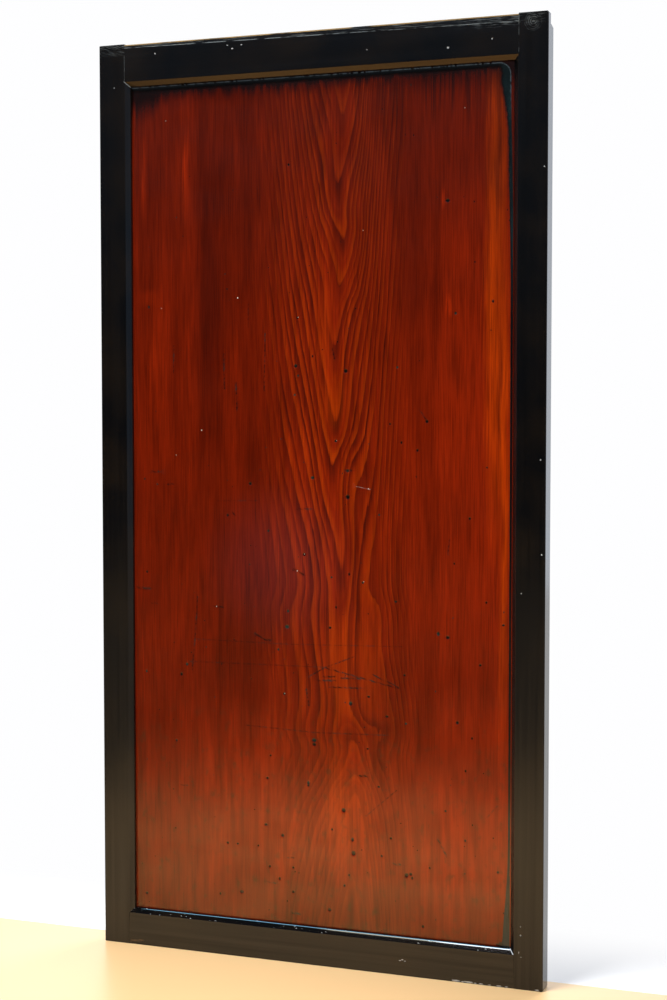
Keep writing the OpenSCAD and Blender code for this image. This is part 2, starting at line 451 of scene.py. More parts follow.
# Black lacquer, brushed on in coats over filled wood and rubbed down: deep black that mirrors the room
# softly, with faint brush lines, brown wood where it has worn through and pale filler where it is chipped
lacquer = {
    "deep": "#070708",
    "thin": "#15100B",
    "bareWood": "#4E3A26",
    "tan": "#A5895A",
    "scuff": "#8C969A",
    "speck": "#B8BDC0",
    "clear": "#FFFFFF",
    "amber": "#F3D09D",             # tint of what the top chamfer mirrors, under old smoke
    "ior": 1.56,
    "roughness": (0.12, 0.21),      # between and on the brush strokes
    "mirror": (0.42, 0.57),         # and how much it mirrors there, usually 0.5
    "markRoughness": 0.35,          # what a mark adds
    "thinPatches": ((110, 110, 110), 0.42, 0.72, 3.0),
    "brushLevels": (0.3, 0.7, 3.0),
    "brushRelief": 0.012,           # mm
    "shine": 0.06,                  # roughness of the bottom chamfer, where sleeves and feet have rubbed it
    "shineSoft": 0.5,               # mm over which that and the amber end
    "amberSoft": 0.3,
    "crown": 2.5,                   # mm, how far down from its inner edge that chamfer is rounded
    "crownCurve": 0.045,
}

# Wear on the front of the top rail, in mm
railMarks = {
    "frontOf": -14.0,               # what lies before this depth
    "below": 40.0,                  # and no further below the top
    "planedLeft": 6.0,              # height of the planed strip at its two ends
    "planedRight": 13.0,
    "lineHalf": 0.35,
    "lineSoft": 0.6,
    "lineShare": 0.75,
    "lineBreaks": ((26, 26, 9), 0.40, 0.56, 4.0),
    "stripScuffs": ((34, 34, 1.6), 0.52, 0.78, 3.0),
    "endFrom": 250.0,               # the right end is scuffed from here on
    "endFull": 385.0,
    "endReach": 11.0,               # and as far below the line
    "endScuffs": ((18, 18, 2.0), 0.50, 0.70, 4.0),
    "scuffShare": 0.55,
    "arrisFrom": 2.6,
    "arrisFull": 1.7,
    "arrisWorn": ((60, 60, 60), 0.30, 0.42, 3.0),
}


# Top rail: the edge of the planed strip has lost its black, the strip is scuffed, most at its right end,
# and the arris above shows tan wood
def railWear(tree, inMm, across, depth, up):
    soft = railMarks["lineSoft"]
    height = addNode(tree, "MapRange", {0: across, 1: -jointX / mm, 2: jointX / mm,
                                        3: railMarks["planedLeft"], 4: railMarks["planedRight"]})
    fromTop = addNode(tree, "Math", {0: railTop / mm, 1: up}, operation="SUBTRACT")
    fromLine = addNode(tree, "Math", {0: fromTop, 1: height}, operation="SUBTRACT")
    atHead = addNode(tree, "Math", {0: fromTop, 1: railMarks["below"]}, operation="LESS_THAN")
    inFront = addNode(tree, "Math", {0: depth, 1: railMarks["frontOf"]}, operation="LESS_THAN")
    onRail = multiplied(tree, atHead, inFront)
    line = multiplied(tree, nearZero(tree, fromLine, railMarks["lineHalf"], soft),
                      patches(tree, inMm, *railMarks["lineBreaks"]), onRail, railMarks["lineShare"])
    above = addNode(tree, "MapRange", {0: fromLine, 1: soft, 2: -soft})
    stripScuff = multiplied(tree, above, patches(tree, inMm, *railMarks["stripScuffs"]), onRail)
    rightEnd = addNode(tree, "MapRange", {0: across, 1: railMarks["endFrom"], 2: railMarks["endFull"]})
    reach = addNode(tree, "MapRange", {0: fromLine, 1: railMarks["endReach"], 2: 0.0})
    endScuff = multiplied(tree, rightEnd, reach, patches(tree, inMm, *railMarks["endScuffs"]), onRail)
    scuffs = addNode(tree, "Math", {0: stripScuff, 1: endScuff}, operation="MAXIMUM")
    scuffs = multiplied(tree, scuffs, railMarks["scuffShare"])
    arris = addNode(tree, "MapRange", {0: fromTop, 1: railMarks["arrisFrom"], 2: railMarks["arrisFull"]})
    tan = multiplied(tree, arris, patches(tree, inMm, *railMarks["arrisWorn"]), onRail)
    return [(scuffs, "scuff"), (line, "scuff"), (tan, "tan")]


# Wear on the front of the stiles, in mm
stileMarks = {
    "frontOf": -9.0,
    "jointHalf": 0.5,
    "jointSoft": 0.5,
    "jointShare": 0.75,
    "jointBreaks": ((12, 12, 16), 0.42, 0.60, 4.0),
    "mitreMiddle": 4.5,             # down from the chamfer's outer corner
    "mitreLength": (5.0, 1.0),      # half of it, and how softly it ends
    "mitreWidth": (1.1, 0.8),
    "mitreShare": 0.95,
    "endFrom": 24.0,                # scuffs start this far below the top
    "endFull": 2.0,
    "slant": -20.0,                 # degrees
    "leftScuffs": ((22, 22, 1.5), 0.48, 0.72, 4.0),
    "rightScuffs": ((16, 16, 2.2), 0.52, 0.74, 4.0),
    "rightShare": 0.7,
    "knot": (417.0, 1740.0),
    "knotReach": (19.0, 7.0),
    "knotRing": 3.4,
    "knotLine": (0.35, 0.95),       # how much of each wave of a ring shows
    "knotWander": (7, 5.0),         # size and amount
    "knotPatches": ((8, 8, 8), 0.38, 0.60, 3.0),
    "scuffShare": 0.6,
}


# Stiles: pale lines down the joints and the mitre at the head
def jointLines(tree, inMm, across, up, fromTop, atLeft, inFront):
    side = addNode(tree, "Math", {0: across}, operation="ABSOLUTE")
    fromJoint = addNode(tree, "Math", {0: side, 1: jointX / mm}, operation="SUBTRACT")
    atJoint = addNode(tree, "Math", {0: fromTop, 1: (doorTop - headMitre) / mm}, operation="LESS_THAN")
    joint = multiplied(tree, nearZero(tree, fromJoint, stileMarks["jointHalf"], stileMarks["jointSoft"]),
                       atJoint, inFront, patches(tree, inMm, *stileMarks["jointBreaks"]),
                       stileMarks["jointShare"])
    fromMitre = addNode(tree, "Math", {0: up, 1: headMitre / mm}, operation="SUBTRACT")
    offMitre = addNode(tree, "Math", {0: fromJoint, 1: fromMitre}, operation="SUBTRACT")
    alongMitre = addNode(tree, "Math", {0: fromMitre, 1: stileMarks["mitreMiddle"]}, operation="ADD")
    onMitre = nearZero(tree, alongMitre, *stileMarks["mitreLength"])
    mitre = multiplied(tree, nearZero(tree, offMitre, *stileMarks["mitreWidth"]), onMitre, atLeft, inFront,
                       stileMarks["mitreShare"])
    return addNode(tree, "Math", {0: joint, 1: mitre}, operation="MAXIMUM")


# Rings of a knot that show through on the right stile's end
def knotRings(tree, inMm, inFront):
    knotX, knotZ = stileMarks["knot"]
    size, amount = stileMarks["knotWander"]
    away = addNode(tree, "VectorMath", {0: inMm, 1: (knotX, frontFace / mm, knotZ)}, out="Value",
                   operation="DISTANCE")
    wander = addNode(tree, "TexNoise", {"Vector": inMm, "Scale": 1 / size, "Detail": 2.0})
    ring = addNode(tree, "Math", {0: wander, 1: amount, 2: away}, operation="MULTIPLY_ADD")
    turn = addNode(tree, "Math", {0: ring, 1: 2 * math.pi / stileMarks["knotRing"]}, operation="MULTIPLY")
    wave = addNode(tree, "Math", {0: turn}, operation="SINE")
    start, end = stileMarks["knotLine"]
    ringShare = addNode(tree, "MapRange", {0: wave, 1: start, 2: end})
    start, end = stileMarks["knotReach"]
    nearKnot = addNode(tree, "MapRange", {0: away, 1: start, 2: end})
    return multiplied(tree, ringShare, nearKnot, patches(tree, inMm, *stileMarks["knotPatches"]), inFront)


# The ends of the stiles are scuffed as well, on the left one at a slant
def stileWear(tree, inMm, across, depth, up):
    inFront = addNode(tree, "Math", {0: depth, 1: stileMarks["frontOf"]}, operation="LESS_THAN")
    fromTop = addNode(tree, "Math", {0: doorTop / mm, 1: up}, operation="SUBTRACT")
    atLeft = addNode(tree, "Math", {0: across, 1: 0.0}, operation="LESS_THAN")
    atRight = addNode(tree, "Math", {0: across, 1: 0.0}, operation="GREATER_THAN")
    lines = jointLines(tree, inMm, across, up, fromTop, atLeft, inFront)
    slanted = addNode(tree, "VectorRotate", {"Vector": inMm, "Angle": math.radians(stileMarks["slant"])},
                      rotation_type="Y_AXIS")
    endGrain = addNode(tree, "MapRange", {0: fromTop, 1: stileMarks["endFrom"], 2: stileMarks["endFull"]})
    leftScuff = multiplied(tree, endGrain, patches(tree, slanted, *stileMarks["leftScuffs"]), atLeft,
                           inFront)
    rightScuff = multiplied(tree, endGrain, patches(tree, inMm, *stileMarks["rightScuffs"]), atRight,
                            inFront, stileMarks["rightShare"])
    knot = knotRings(tree, inMm, inFront)
    scuffs = addNode(tree, "Math", {0: leftScuff, 1: knot}, operation="MAXIMUM")
    scuffs = addNode(tree, "Math", {0: scuffs, 1: rightScuff}, operation="MAXIMUM")
    return [(multiplied(tree, scuffs, stileMarks["scuffShare"]), "scuff"), (lines, "scuff")]


# Wear on the chamfer of the bottom rail, in mm
footMarks = {
    "frontOf": -8.0,
    "chamferMiddle": 4.0,           # down from its inner edge
    "chamferReach": (4.0, 0.5),
    "chips": ((6.0, 2.6, 2.6), 0.72, 0.77, 1.0),
    # the pale line down the right mitre is a painted highlight, in the colour of the chips
    "mitreWidth": (1.2, 0.8),
    "mitreShare": 0.9,
}


# Bottom rail: the chamfer that the board meets has gathered small chips, and the pale line along its right
# mitre is a painted highlight
def footWear(tree, inMm, across, depth, up):
    fromChamfer = addNode(tree, "Math", {0: up, 1: sightFoot / mm - footMarks["chamferMiddle"]},
                          operation="SUBTRACT")
    onChamfer = nearZero(tree, fromChamfer, *footMarks["chamferReach"])
    inFront = addNode(tree, "Math", {0: depth, 1: footMarks["frontOf"]}, operation="LESS_THAN")
    chips = multiplied(tree, patches(tree, inMm, *footMarks["chips"]), onChamfer, inFront)
    fromSight = addNode(tree, "Math", {0: across, 1: (sightX + sightFoot) / mm}, operation="SUBTRACT")
    offMitre = addNode(tree, "Math", {0: fromSight, 1: up}, operation="ADD")
    mitre = multiplied(tree, nearZero(tree, offMitre, *footMarks["mitreWidth"]), onChamfer, inFront,
                       footMarks["mitreShare"])
    # the mitre line is a painted highlight; the chips are real
    return [(chips, "speck"), (mitre, "speck")]


# The brush is the size of its strokes in mm
def blackLacquerBrushed(name, brush, wear=None, footChamfer=False, headChamfer=False):
    material, tree = newMaterial(name)
    inMm = placeInMm(tree)
    across, depth, up = addNode(tree, "SeparateXYZ", {0: inMm}).node.outputs
    thin = patches(tree, inMm, *lacquer["thinPatches"])
    strokes = patches(tree, inMm, brush, *lacquer["brushLevels"])
    low, high = lacquer["roughness"]
    gloss = addNode(tree, "MapRange", {0: strokes, 3: low, 4: high})
    if footChamfer:
        chamferEnd = (sightFoot - chamferWidth) / mm
        shiny = addNode(tree, "MapRange", {0: up, 1: chamferEnd - lacquer["shineSoft"], 2: chamferEnd})
        gloss = addNode(tree, "Mix", {0: shiny, 2: gloss, 3: lacquer["shine"]})
    worn = addNode(tree, "Attribute", out="Fac", attribute_name="worn")
    pale = addNode(tree, "Attribute", out="Fac", attribute_name="pale")
    marks = [(worn, "bareWood"), (pale, "speck")]
    if wear:
        marks += wear(tree, inMm, across, depth, up)
    for share, _ in marks:
        gloss = addNode(tree, "Math", {0: share, 1: lacquer["markRoughness"], 2: gloss},
                        operation="MULTIPLY_ADD", use_clamp=True)
    colour = addNode(tree, "Mix", {0: thin, 6: toLinear(lacquer["deep"]), 7: toLinear(lacquer["thin"])},
                     **ofColours)
    colour = layColours(tree, colour, marks, lacquer)
    low, high = lacquer["mirror"]
    mirror = addNode(tree, "MapRange", {0: strokes, 3: low, 4: high})
    relief = addNode(tree, "Bump", {"Height": strokes, "Distance": lacquer["brushRelief"] * mm,
                                    "Strength": 1.0}, out="Normal")
    looks = {"Base Color": colour, "Roughness": gloss, "IOR": lacquer["ior"], "Specular IOR Level": mirror}
    if footChamfer:
        rubbed = addNode(tree, "MapRange", {0: up, 1: sightFoot / mm - lacquer["crown"], 2: sightFoot / mm,
                                            3: 0.0, 4: lacquer["crown"]})
        rubbed = multiplied(tree, rubbed, rubbed)
        relief = addNode(tree, "Bump", {"Height": rubbed, "Distance": lacquer["crownCurve"] * mm,
                                        "Strength": 1.0, "Normal": relief}, out="Normal", invert=True)
    if headChamfer:
        chamferEnd = headMitre / mm
        smoked = addNode(tree, "MapRange", {0: up, 1: chamferEnd, 2: chamferEnd + lacquer["amberSoft"],
                                            3: 1.0, 4: 0.0})
        looks["Specular Tint"] = layColours(tree, toLinear(lacquer["clear"]), [(smoked, "amber")], lacquer)
    finishMaterial(tree, addNode(tree, "BsdfPrincipled", {**looks, "Normal": relief}))
    return material


# Chips and scuffs on the front of the frame: mm from the left edge and the top edge, width, height, kind
frameMarks = [
    (120, 22, 2.8, 2.8, "pale"), (271, 17, 2.6, 2.2, "pale"), (281, 24, 4.2, 2.2, "pale"),
    (300, 18, 2.6, 2.4, "pale"), (32, 82, 2.0, 2.0, "pale"), (550, 45, 2.2, 1.6, "pale"),
    (705, 52, 4.4, 3.2, "pale"), (787, 42, 2.8, 2.4, "pale"), (884, 272, 2.0, 3.0, "pale"),
    (880, 792, 2.2, 2.6, "pale"), (883, 962, 2.0, 3.0, "pale"), (846, 1033, 2.0, 2.4, "pale"),
    (848, 1641, 1.8, 1.8, "pale"), (848, 1657, 2.5, 2.5, "pale"), (845, 1689, 0.8, 4.0, "pale"),
    (849, 1697, 3.4, 0.7, "pale"), (739, 1755.2, 6, 1.5, "pale"), (763, 1755.2, 5, 1.5, "pale"),
    (790, 1755.2, 6, 1.4, "pale"), (617, 1729, 4.0, 1.4, "pale"), (622, 1727, 4.0, 1.4, "pale"),
    (627, 1729, 3.0, 1.4, "pale"), (726, 1754.4, 15, 2.8, "pale"), (750, 1754.4, 17, 2.6, "pale"),
    (774, 1755, 7, 2.0, "pale"), (808, 1755, 9, 2.0, "pale"), (822, 1755, 5, 1.8, "pale"),
    (879, 1754.6, 8, 2.2, "pale"), (66, 1750, 22, 3.6, "worn"), (80, 1748, 12, 3.0, "worn"),
]
frameMember = {
    "arris": 0.5 * mm,              # how far the arrises are rubbed
    "longEdge": 300 * mm,
    "markDepth": 0.12,              # share of a mark's smaller size
}


def buildFrameMember(name, nodeName, axis, material):
    bm = weldedCopy(nodeName)
    softenArrises(bm, axis, frameMember["longEdge"], frameMember["arris"])
    marks = [((doorLeft / mm + x, doorTop / mm - z, wide, tall), kind)
             for x, z, wide, tall, kind in frameMarks]
    spots = [spot for mark, _ in marks for spot in ringPoints(mark)]
    x, z, fresh = patchFront(bm, spots, ("pale", "worn"))
    sunk = np.zeros(len(x))
    fields = {"pale": np.zeros(len(x)), "worn": np.zeros(len(x))}
    for mark, kind in marks:
        share = markShare(x, z, mark)
        sunk = np.maximum(sunk, frameMember["markDepth"] * min(mark[2:]) * share)
        fields[kind] = np.maximum(fields[kind], share)
    dressPoints(bm, fresh, sunk, fields)
    shadeByAngle(bm)
    return addPiece(name, bm, [material], [nodeName])


alongX, alongZ = 0, 2
stileLacquer = blackLacquerBrushed("Black lacquer, brushed up the stiles", (7, 7, 420), stileWear)
topLacquer = blackLacquerBrushed("Black lacquer, brushed along the top rail", (420, 7, 7), railWear,
                                 headChamfer=True)
footLacquer = blackLacquerBrushed("Black lacquer, brushed along the bottom rail", (420, 7, 7), footWear,
                                  footChamfer=True)
backLacquer = blackLacquerBrushed("Black lacquer, brushed along the battens", (420, 9, 9))
buildFrameMember("leftStile", "left_stile", alongZ, stileLacquer)
buildFrameMember("rightStile", "right_stile", alongZ, stileLacquer)
buildFrameMember("topRail", "top_rail", alongX, topLacquer)
mirrors.objects.link(buildFrameMember("bottomRail", "bottom_rail", alongX, footLacquer))
for number in range(1, 5):
    bm = weldedCopy(f"back_batten_{number}")
    shadeByAngle(bm)
    addPiece(f"backBatten{number}", bm, [backLacquer], [f"back_batten_{number}"])
print("frame members built")


# The board: a wide flat-sawn plank under clear red lacquer. Its year rings show as nested tongues down the
# middle and fine straight lines at the sides. Heights are in mm above the floor.
board = {
    "middle": "#7F1E05",
    "late": "#310A06",
    "glint": "#A63A05",
    "orange": "#B23B04",
    # flame-red streaks in the wood, and the colour of two painted glints
    "flameAndGlint": "#BE3208",
    "maroon": "#2E0A08",
    "bandBlack": "#06080A",
    # painted reflection: teal sheen of the bluish window light on the band's right side
    "bandTealSheen": "#1D3338",
    # painted highlight along the band's outer edge
    "bandEdgeHighlight": "#46525A",
    "dentBlack": "#060A0A",
    # painted highlight: the teal glint that some dents catch
    "dentTealGlint": "#2C443F",
    "grime": "#2E2818",
    "paintedReflection": "#8E96BC",             # painted reflection: a bluish haze mirrored in the lacquer, painted into its colour
    "paintedReflectionPlace": (-78.0, 0.0, 760.0),
    "paintedReflectionReach": (10.0, 190.0),
    "paintedReflectionShare": 0.013,
    "grimeShare": 0.58,
    "dentTealGlintShare": 0.4,
    "speck": "#C4C2B8",
    "footHeight": (560.0, 360.0),   # the foot, with its own streaks and grime, sets in between these heights
    "ior": 1.5,
    "footGloss": 0.86,              # its lower part has kept more of its polish
    "bellyGloss": 0.32,
    "headGloss": 0.54,
    "rubbedGloss": (0.76, 1.2),     # and it is rubbed in places
    "tint": "#FFEEC6",              # the lacquer is amber, and so is what it mirrors
    "dust": "#FFF8EA",              # but dust has dulled that at the top
    "dustHeight": (1000.0, 1550.0),
    "roughness": (0.14, 0.28),
    "fibreRelief": 0.02,            # mm
}
# Patterns in its lacquer and wood. Fibre and threads are drawn coarser than the real 0.2 mm, so they show.
boardPatterns = {
    "fibre": ((3.2, 3.2, 130), 0.28, 0.72, 4.0),
    "threads": ((1.7, 1.7, 70), 0.30, 0.62, 2.0),
    "belts": ((30, 30, 620), 0.25, 0.75, 3.0),
    "clouds": ((130, 130, 260), 0.3, 0.7, 3.0),
    "footStreaks": ((13, 13, 110), 0.28, 0.72, 4.0),
    "ringPatches": ((18, 18, 170), 0.27, 0.66, 2.0),
    "streakBends": ((36, 36, 240), 0.0, 1.0, 3.0),
    "grime": ((12, 12, 20), 0.57, 0.80, 4.0),
    "fingers": ((10, 10, 400), 0.3, 0.75, 4.0),
    "cornerFingers": ((7, 7, 300), 0.3, 0.7, 3.0),
    "combReach": ((6, 6, 500), 0.3, 0.7, 2.0),
    "comb": ((3.8, 3.8, 600), 0.44, 0.51, 1.0),
    "bandRagged": ((5, 5, 9), 0.2, 0.8, 3.0),
    "bandEdge": ((5.0, 5.0, 6), 0.38, 0.54, 4.0),
    "bandTealSheen": ((9, 9, 60), 0.15, 0.65, 2.0),
    "dentTealGlint": ((24, 24, 24), 0.50, 0.62, 1.0),
    "haze": ((70, 70, 70), 0.0, 1.0, 4.0),
    "rubbed": ((150, 150, 60), 0.3, 0.7, 4.0),
}

# Year rings, in mm from their middle line
ringSet = {
    "across": 0.095,                # rings per mm beside the tongues
    "lean": 0.015,                  # and how many more per mm on the right
    "beside": (15.0, 70.0),         # the steadier line and count below take over between these
    "uprightRight": (25.0, 90.0),   # the rings turn upright between these
    "uprightLeft": (-50.0, -150.0),
    "leftShare": 0.6,
    "uprightSpan": 20.0,
    "uprightCount": (6.0, 14.0),    # what counts of 0 and of that span in the middle become there
    "waver": (((120, 120, 420), 0.7), ((26, 26, 170), 0.5), ((4.0, 4.0, 70), 0.22)),    # size and rings
    "lateUntil": 0.52,              # share of a ring over which its late wood fades
    "lateFrom": 0.91,               # and from which the next one's sets in
    "glint": (0.56, 0.90),          # where its early wood brightens
    "lateShare": 0.95,
    "glintShare": (0.72, 0.48),     # in the tongues and beside them
    "tongueEdge": (25.0, 75.0),
    "byChance": (0.38, 1.0),        # weakest and strongest ring
    "byPatch": (0.45, 1.0),         # and along a ring
    "footShare": 0.6,               # what is left of them at the foot
    "headShare": 0.75,              # and at the head
    "headHeight": (1100.0, 1450.0),
}
# Ends of the tongues up the middle of the board: height above the floor, distance right of the door's
# middle, and the count of rings there, which turns back below the place where the tongues meet
tongues = [
    (60, 70, 6.0), (177, 74, 8.0), (257, 77, 10.0), (335, 79, 12.0), (370, 79, 14.0), (440, 71, 16.0),
    (520, 56, 17.5), (620, 50, 17.5), (757, 52, 16.0), (943, 34, 14.0), (1029, 41, 12.0), (1173, 37, 10.0),
    (1286, 48, 8.0), (1368, 54, 6.0), (1447, 44, 4.4), (1527, 50, 3.2), (1602, 54, 2.0), (1690, 54, 0.4),
]
# The steadier middle line and count beside them, by height
flankLine = [(60, 73), (400, 73), (640, 51), (900, 45), (1690, 51)]
flankRings = [(60, 6.5), (257, 10.5), (440, 16.0), (560, 17.3), (757, 16.2), (943, 13.5), (1173, 9.8),
              (1368, 6.2), (1527, 3.2), (1690, 0.3)]
# How round the tongues' ends are, by height: the two sets meet in a wide clear lens
tipRound = [(60, 0.4), (400, 0.4), (470, 5.0), (640, 5.0), (740, 0.5), (1690, 0.5)]
# How strongly every second ring shows, and each of them, by the distance from their middle line
strongBySide = [(-480, 0.0), (-190, 0.06), (-120, 0.60), (-60, 1.0), (0, 1.0), (30, 0.9), (80, 0.5),
                (130, 0.06), (420, 0.0)]
fineBySide = [(-480, 0.0), (-200, 0.06), (-140, 0.6), (-60, 1.0), (-20, 0.3), (0, 0.1), (15, 0.3), (35, 0.9),
              (80, 1.0), (120, 0.5), (170, 0.06), (420, 0.0)]
# Brightness of the wood across the board and across its foot, and up it, where it is partly painted shade
# for how the light falls, darker at the head
toneAcross = [(-390, 0.64), (-300, 0.67), (-200, 0.51), (-150, 0.53), (-80, 0.71), (40, 0.93), (120, 0.79),
              (200, 0.75), (260, 0.84), (320, 0.88), (390, 0.88)]
toneFoot = [(-390, 0.57), (-300, 0.60), (-200, 0.78), (-100, 0.80), (40, 0.82), (120, 0.82), (230, 0.98),
            (390, 1.05)]
toneAndShadeUp = [(60, 0.58), (150, 0.82), (250, 1.08), (330, 1.02), (420, 0.89), (520, 0.87), (640, 0.92),
          (900, 1.0), (1150, 0.98), (1300, 0.92), (1400, 0.84), (1520, 0.72), (1620, 0.70), (1690, 0.90)]
# Its darkest and brightest by pattern
toneRange = {
    "fibre": (0.74, 1.22),
    "belts": (0.64, 1.34),
    "clouds": (0.84, 1.16),
    "footStreaks": (0.48, 1.50),
}
threadTones = {"dark": 0.60, "darkAtFoot": 0.70, "bright": 1.10}
streakyShare = (0.30, 0.62)         # how much the foot's streaks count above the foot, and on it
leftSide = (-60.0, -180.0)          # left of here the tone and painted shade up the board count less
leftShare = 0.6

# Band of black lacquer left along the board's top and right edges, where it was brushed on past the frame.
# Sizes in mm: heights above the floor, and distances from the middle of the door.
band = {
    "topLine": 1675.0,
    "rightLine": 373.0,
    "rightDrift": 5.0,              # how much further right it runs from driftTop down
    "driftTop": 1380.0,
    "cornerRound": 22.0,
    "topWidth": 8.5,
    "sideWidth": 7.0,
    "headFlare": 16.0,              # how much wider it starts in the top corner
    "headOver": (-125.0, 15.0),     # from topLine
    "thinWidth": 3.4,
    "thinOver": (-130.0, 120.0),    # from driftTop
    "footWidth": 13.0,
    "footOver": (70.0, 300.0),
    "footFlare": 14.0,
    "flareOver": (71.0, 86.0),
    "turnOver": 16.0,               # how soon the top's width turns into the side's
    "rise": 0.35,
    "fullRise": 6.0,                # where it is at least this wide
    "softEdge": (0.5, 5.0),         # how softly its inner edge ends low down, and at the top
    "softOver": (1350.0, 1600.0),
    "outerGap": 0.15,               # what lies this little outside its line is still covered
    "highlightWidth": 0.95,              # its outer line, where a highlight is painted, at the top only
    "highlightLeft": 0.8,
    "highlightAcross": (-40.0, 200.0),
    "highlightHeight": (1570.0, 1660.0),
    "ragged": 0.16,
    "cut": (0.15, 0.80),
    # where the teal reflection is painted on the band, across and by height
    "sheenAcross": (350.0, 368.0),
    "sheenUp": [(60, 0.9), (260, 0.8), (420, 0.1), (1150, 0.1), (1400, 0.6), (1690, 0.5)],
    "leftEnd": -381.0,              # points along it start and end here
    "footEnd": 72.0,
    "step": 4.0,
    "cornerStep": 9,                # degrees
    "outerRows": (-1.2, -0.1, 0.8, 1.7),
    "innerRows": (-5.0, -2.5, -0.5, 0.5, 2.5, 5.0),
}

# Marks on the board, in mm from the left edge and from the top edge of the door as seen past its front.
# Dents: place and size across.
dents = [
    (395, 246, 3.2), (269, 474, 2.2), (104, 505, 2.8), (413, 531, 3.2), (409, 621, 3.8),
    (414, 639, 2.6), (407, 675, 2.6), (443, 603, 2.6), (509, 631, 4.6), (610, 625, 2.6),
    (705, 325, 4.5), (721, 528, 3.2), (791, 508, 3.2), (93, 837, 2.2), (120, 847, 2.2),
    (316, 843, 4.0), (269, 904, 3.0), (489, 761, 3.6), (513, 816, 3.6), (443, 830, 4.2),
    (513, 865, 6.5), (575, 897, 2.6), (667, 724, 3.4), (596, 729, 2.8), (618, 763, 2.6),
    (649, 777, 3.0), (781, 807, 2.8), (749, 900, 2.8), (426, 975, 4.2), (353, 932, 3.2),
    (516, 1009, 3.2), (543, 1024, 3.2), (481, 1016, 2.6), (490, 1072, 3.0), (608, 1057, 3.2),
    (391, 1113, 5.0), (478, 1111, 4.2), (393, 1083, 3.2), (373, 1157, 2.6), (97, 1018, 3.2),
    (690, 1113, 4.0), (708, 1119, 4.2), (770, 1167, 3.2), (813, 1092, 3.2), (781, 1052, 3.0),
    (720, 983, 2.2), (625, 1193, 2.6), (182, 1195, 3.2), (170, 1215, 3.2), (95, 1213, 3.0),
    (385, 1241, 3.2), (519, 1252, 4.2), (591, 1272, 3.6), (628, 1283, 3.2), (555, 1237, 3.2),
    (727, 1275, 4.2), (755, 1302, 2.6), (446, 1326, 5.5), (446, 1334, 5.0), (553, 1335, 2.8),
    (357, 1361, 3.0), (350, 1405, 3.2), (434, 1408, 4.2), (434, 1413, 3.6), (159, 1345, 3.0),
    (575, 1405, 3.0), (743, 1363, 3.0), (505, 1455, 4.6), (347, 1495, 4.0), (381, 1513, 3.6),
    (482, 1493, 3.0), (523, 1509, 4.2), (525, 1535, 5.0), (267, 1537, 3.2), (288, 1537, 2.8),
    (331, 1537, 2.8), (403, 1573, 3.2), (355, 1575, 3.0), (375, 1597, 3.6), (507, 1598, 3.2),
    (516, 1577, 2.4), (630, 1567, 5.0), (638, 1564, 3.6), (641, 1571, 3.0), (675, 1549, 3.0),
    (296, 1630, 5.0), (251, 1638, 3.0), (403, 1620, 3.0), (662, 1660, 3.0), (805, 1545, 3.0),
    (743, 1492, 2.6), (705, 1440, 3.0), (599, 1500, 2.6), (581, 1535, 2.6), (477, 1647, 4.0),
    (93, 1652, 4.0),
]
# White flecks: place and size across
flecks = [
    (291, 491, 2.8), (414, 530, 1.8), (215, 742, 3.0), (543, 373, 1.6), (131, 508, 1.8), (161, 790, 1.6),
    (737, 161, 1.8), (142, 151, 1.6), (545, 1022, 1.8), (412, 1006, 2.4), (426, 974, 1.8), (245, 1080, 2.0),
    (554, 849, 2.2), (491, 760, 1.6), (386, 1240, 1.6),
]
# Scratches: two ends, width, and how dark (below zero: how pale)
scratches = [
    (262, 597, 263, 663, 1.6, 0.7), (347, 560, 345, 667, 1.4, 0.6), (287, 652, 289, 703, 1.8, 0.8),
    (157, 580, 156, 632, 1.4, 0.6), (313, 497, 312, 547, 1.2, 0.4), (482, 587, 487, 608, 1.8, 0.8),
    (107, 823, 123, 823, 2.0, 0.7), (143, 847, 155, 846, 1.8, 0.6), (280, 898, 284, 905, 1.8, 0.7),
    (506, 816, 520, 816, 2.2, 0.9), (652, 701, 668, 725, 1.4, 0.5), (711, 937, 708, 967, 1.6, 0.5),
    (404, 1004, 424, 1013, 2.6, 0.9), (325, 1130, 342, 1138, 3.0, 0.95), (342, 1138, 356, 1141, 2.6, 0.9),
    (75, 1050, 103, 1051, 2.4, 0.9), (107, 1079, 123, 1079, 1.6, 0.4), (237, 1080, 260, 1081, 1.6, 0.6),
    (205, 1063, 199, 1147, 1.6, 0.55), (199, 1147, 193, 1205, 1.6, 0.5), (203, 1145, 393, 1146, 1.4, 0.3),
    (393, 1146, 620, 1140, 1.2, 0.25), (187, 1189, 487, 1186, 1.4, 0.3), (433, 1207, 467, 1187, 1.6, 0.6),
    (467, 1187, 527, 1163, 1.4, 0.5), (467, 1187, 613, 1218, 1.6, 0.6), (453, 1212, 490, 1210, 1.8, 0.7),
    (464, 1204, 487, 1203, 1.8, 0.7), (500, 1205, 540, 1204, 1.6, 0.7), (477, 1223, 540, 1222, 1.6, 0.7),
    (563, 1195, 613, 1216, 1.6, 0.6), (307, 1306, 450, 1311, 1.3, 0.4), (450, 1311, 593, 1307, 1.3, 0.4),
    (430, 1230, 435, 1260, 2.0, 0.8), (550, 1462, 610, 1409, 1.4, 0.5), (783, 1447, 803, 1423, 1.3, 0.35),
    (165, 1432, 182, 1432, 1.5, 0.4), (537, 1387, 552, 1387, 2.2, 0.8), (392, 1555, 404, 1554, 1.8, 0.6),
    (345, 1605, 367, 1607, 1.6, 0.5), (603, 1548, 617, 1548, 2.4, 0.9), (690, 1493, 708, 1525, 2.0, 0.6),
    (402, 1661, 417, 1661, 2.4, 0.8), (530, 845, 557, 850, 0.6, -0.26), (246, 877, 330, 875, 1.2, 0.25),
    (412, 889, 440, 889, 2.0, 0.4),
]
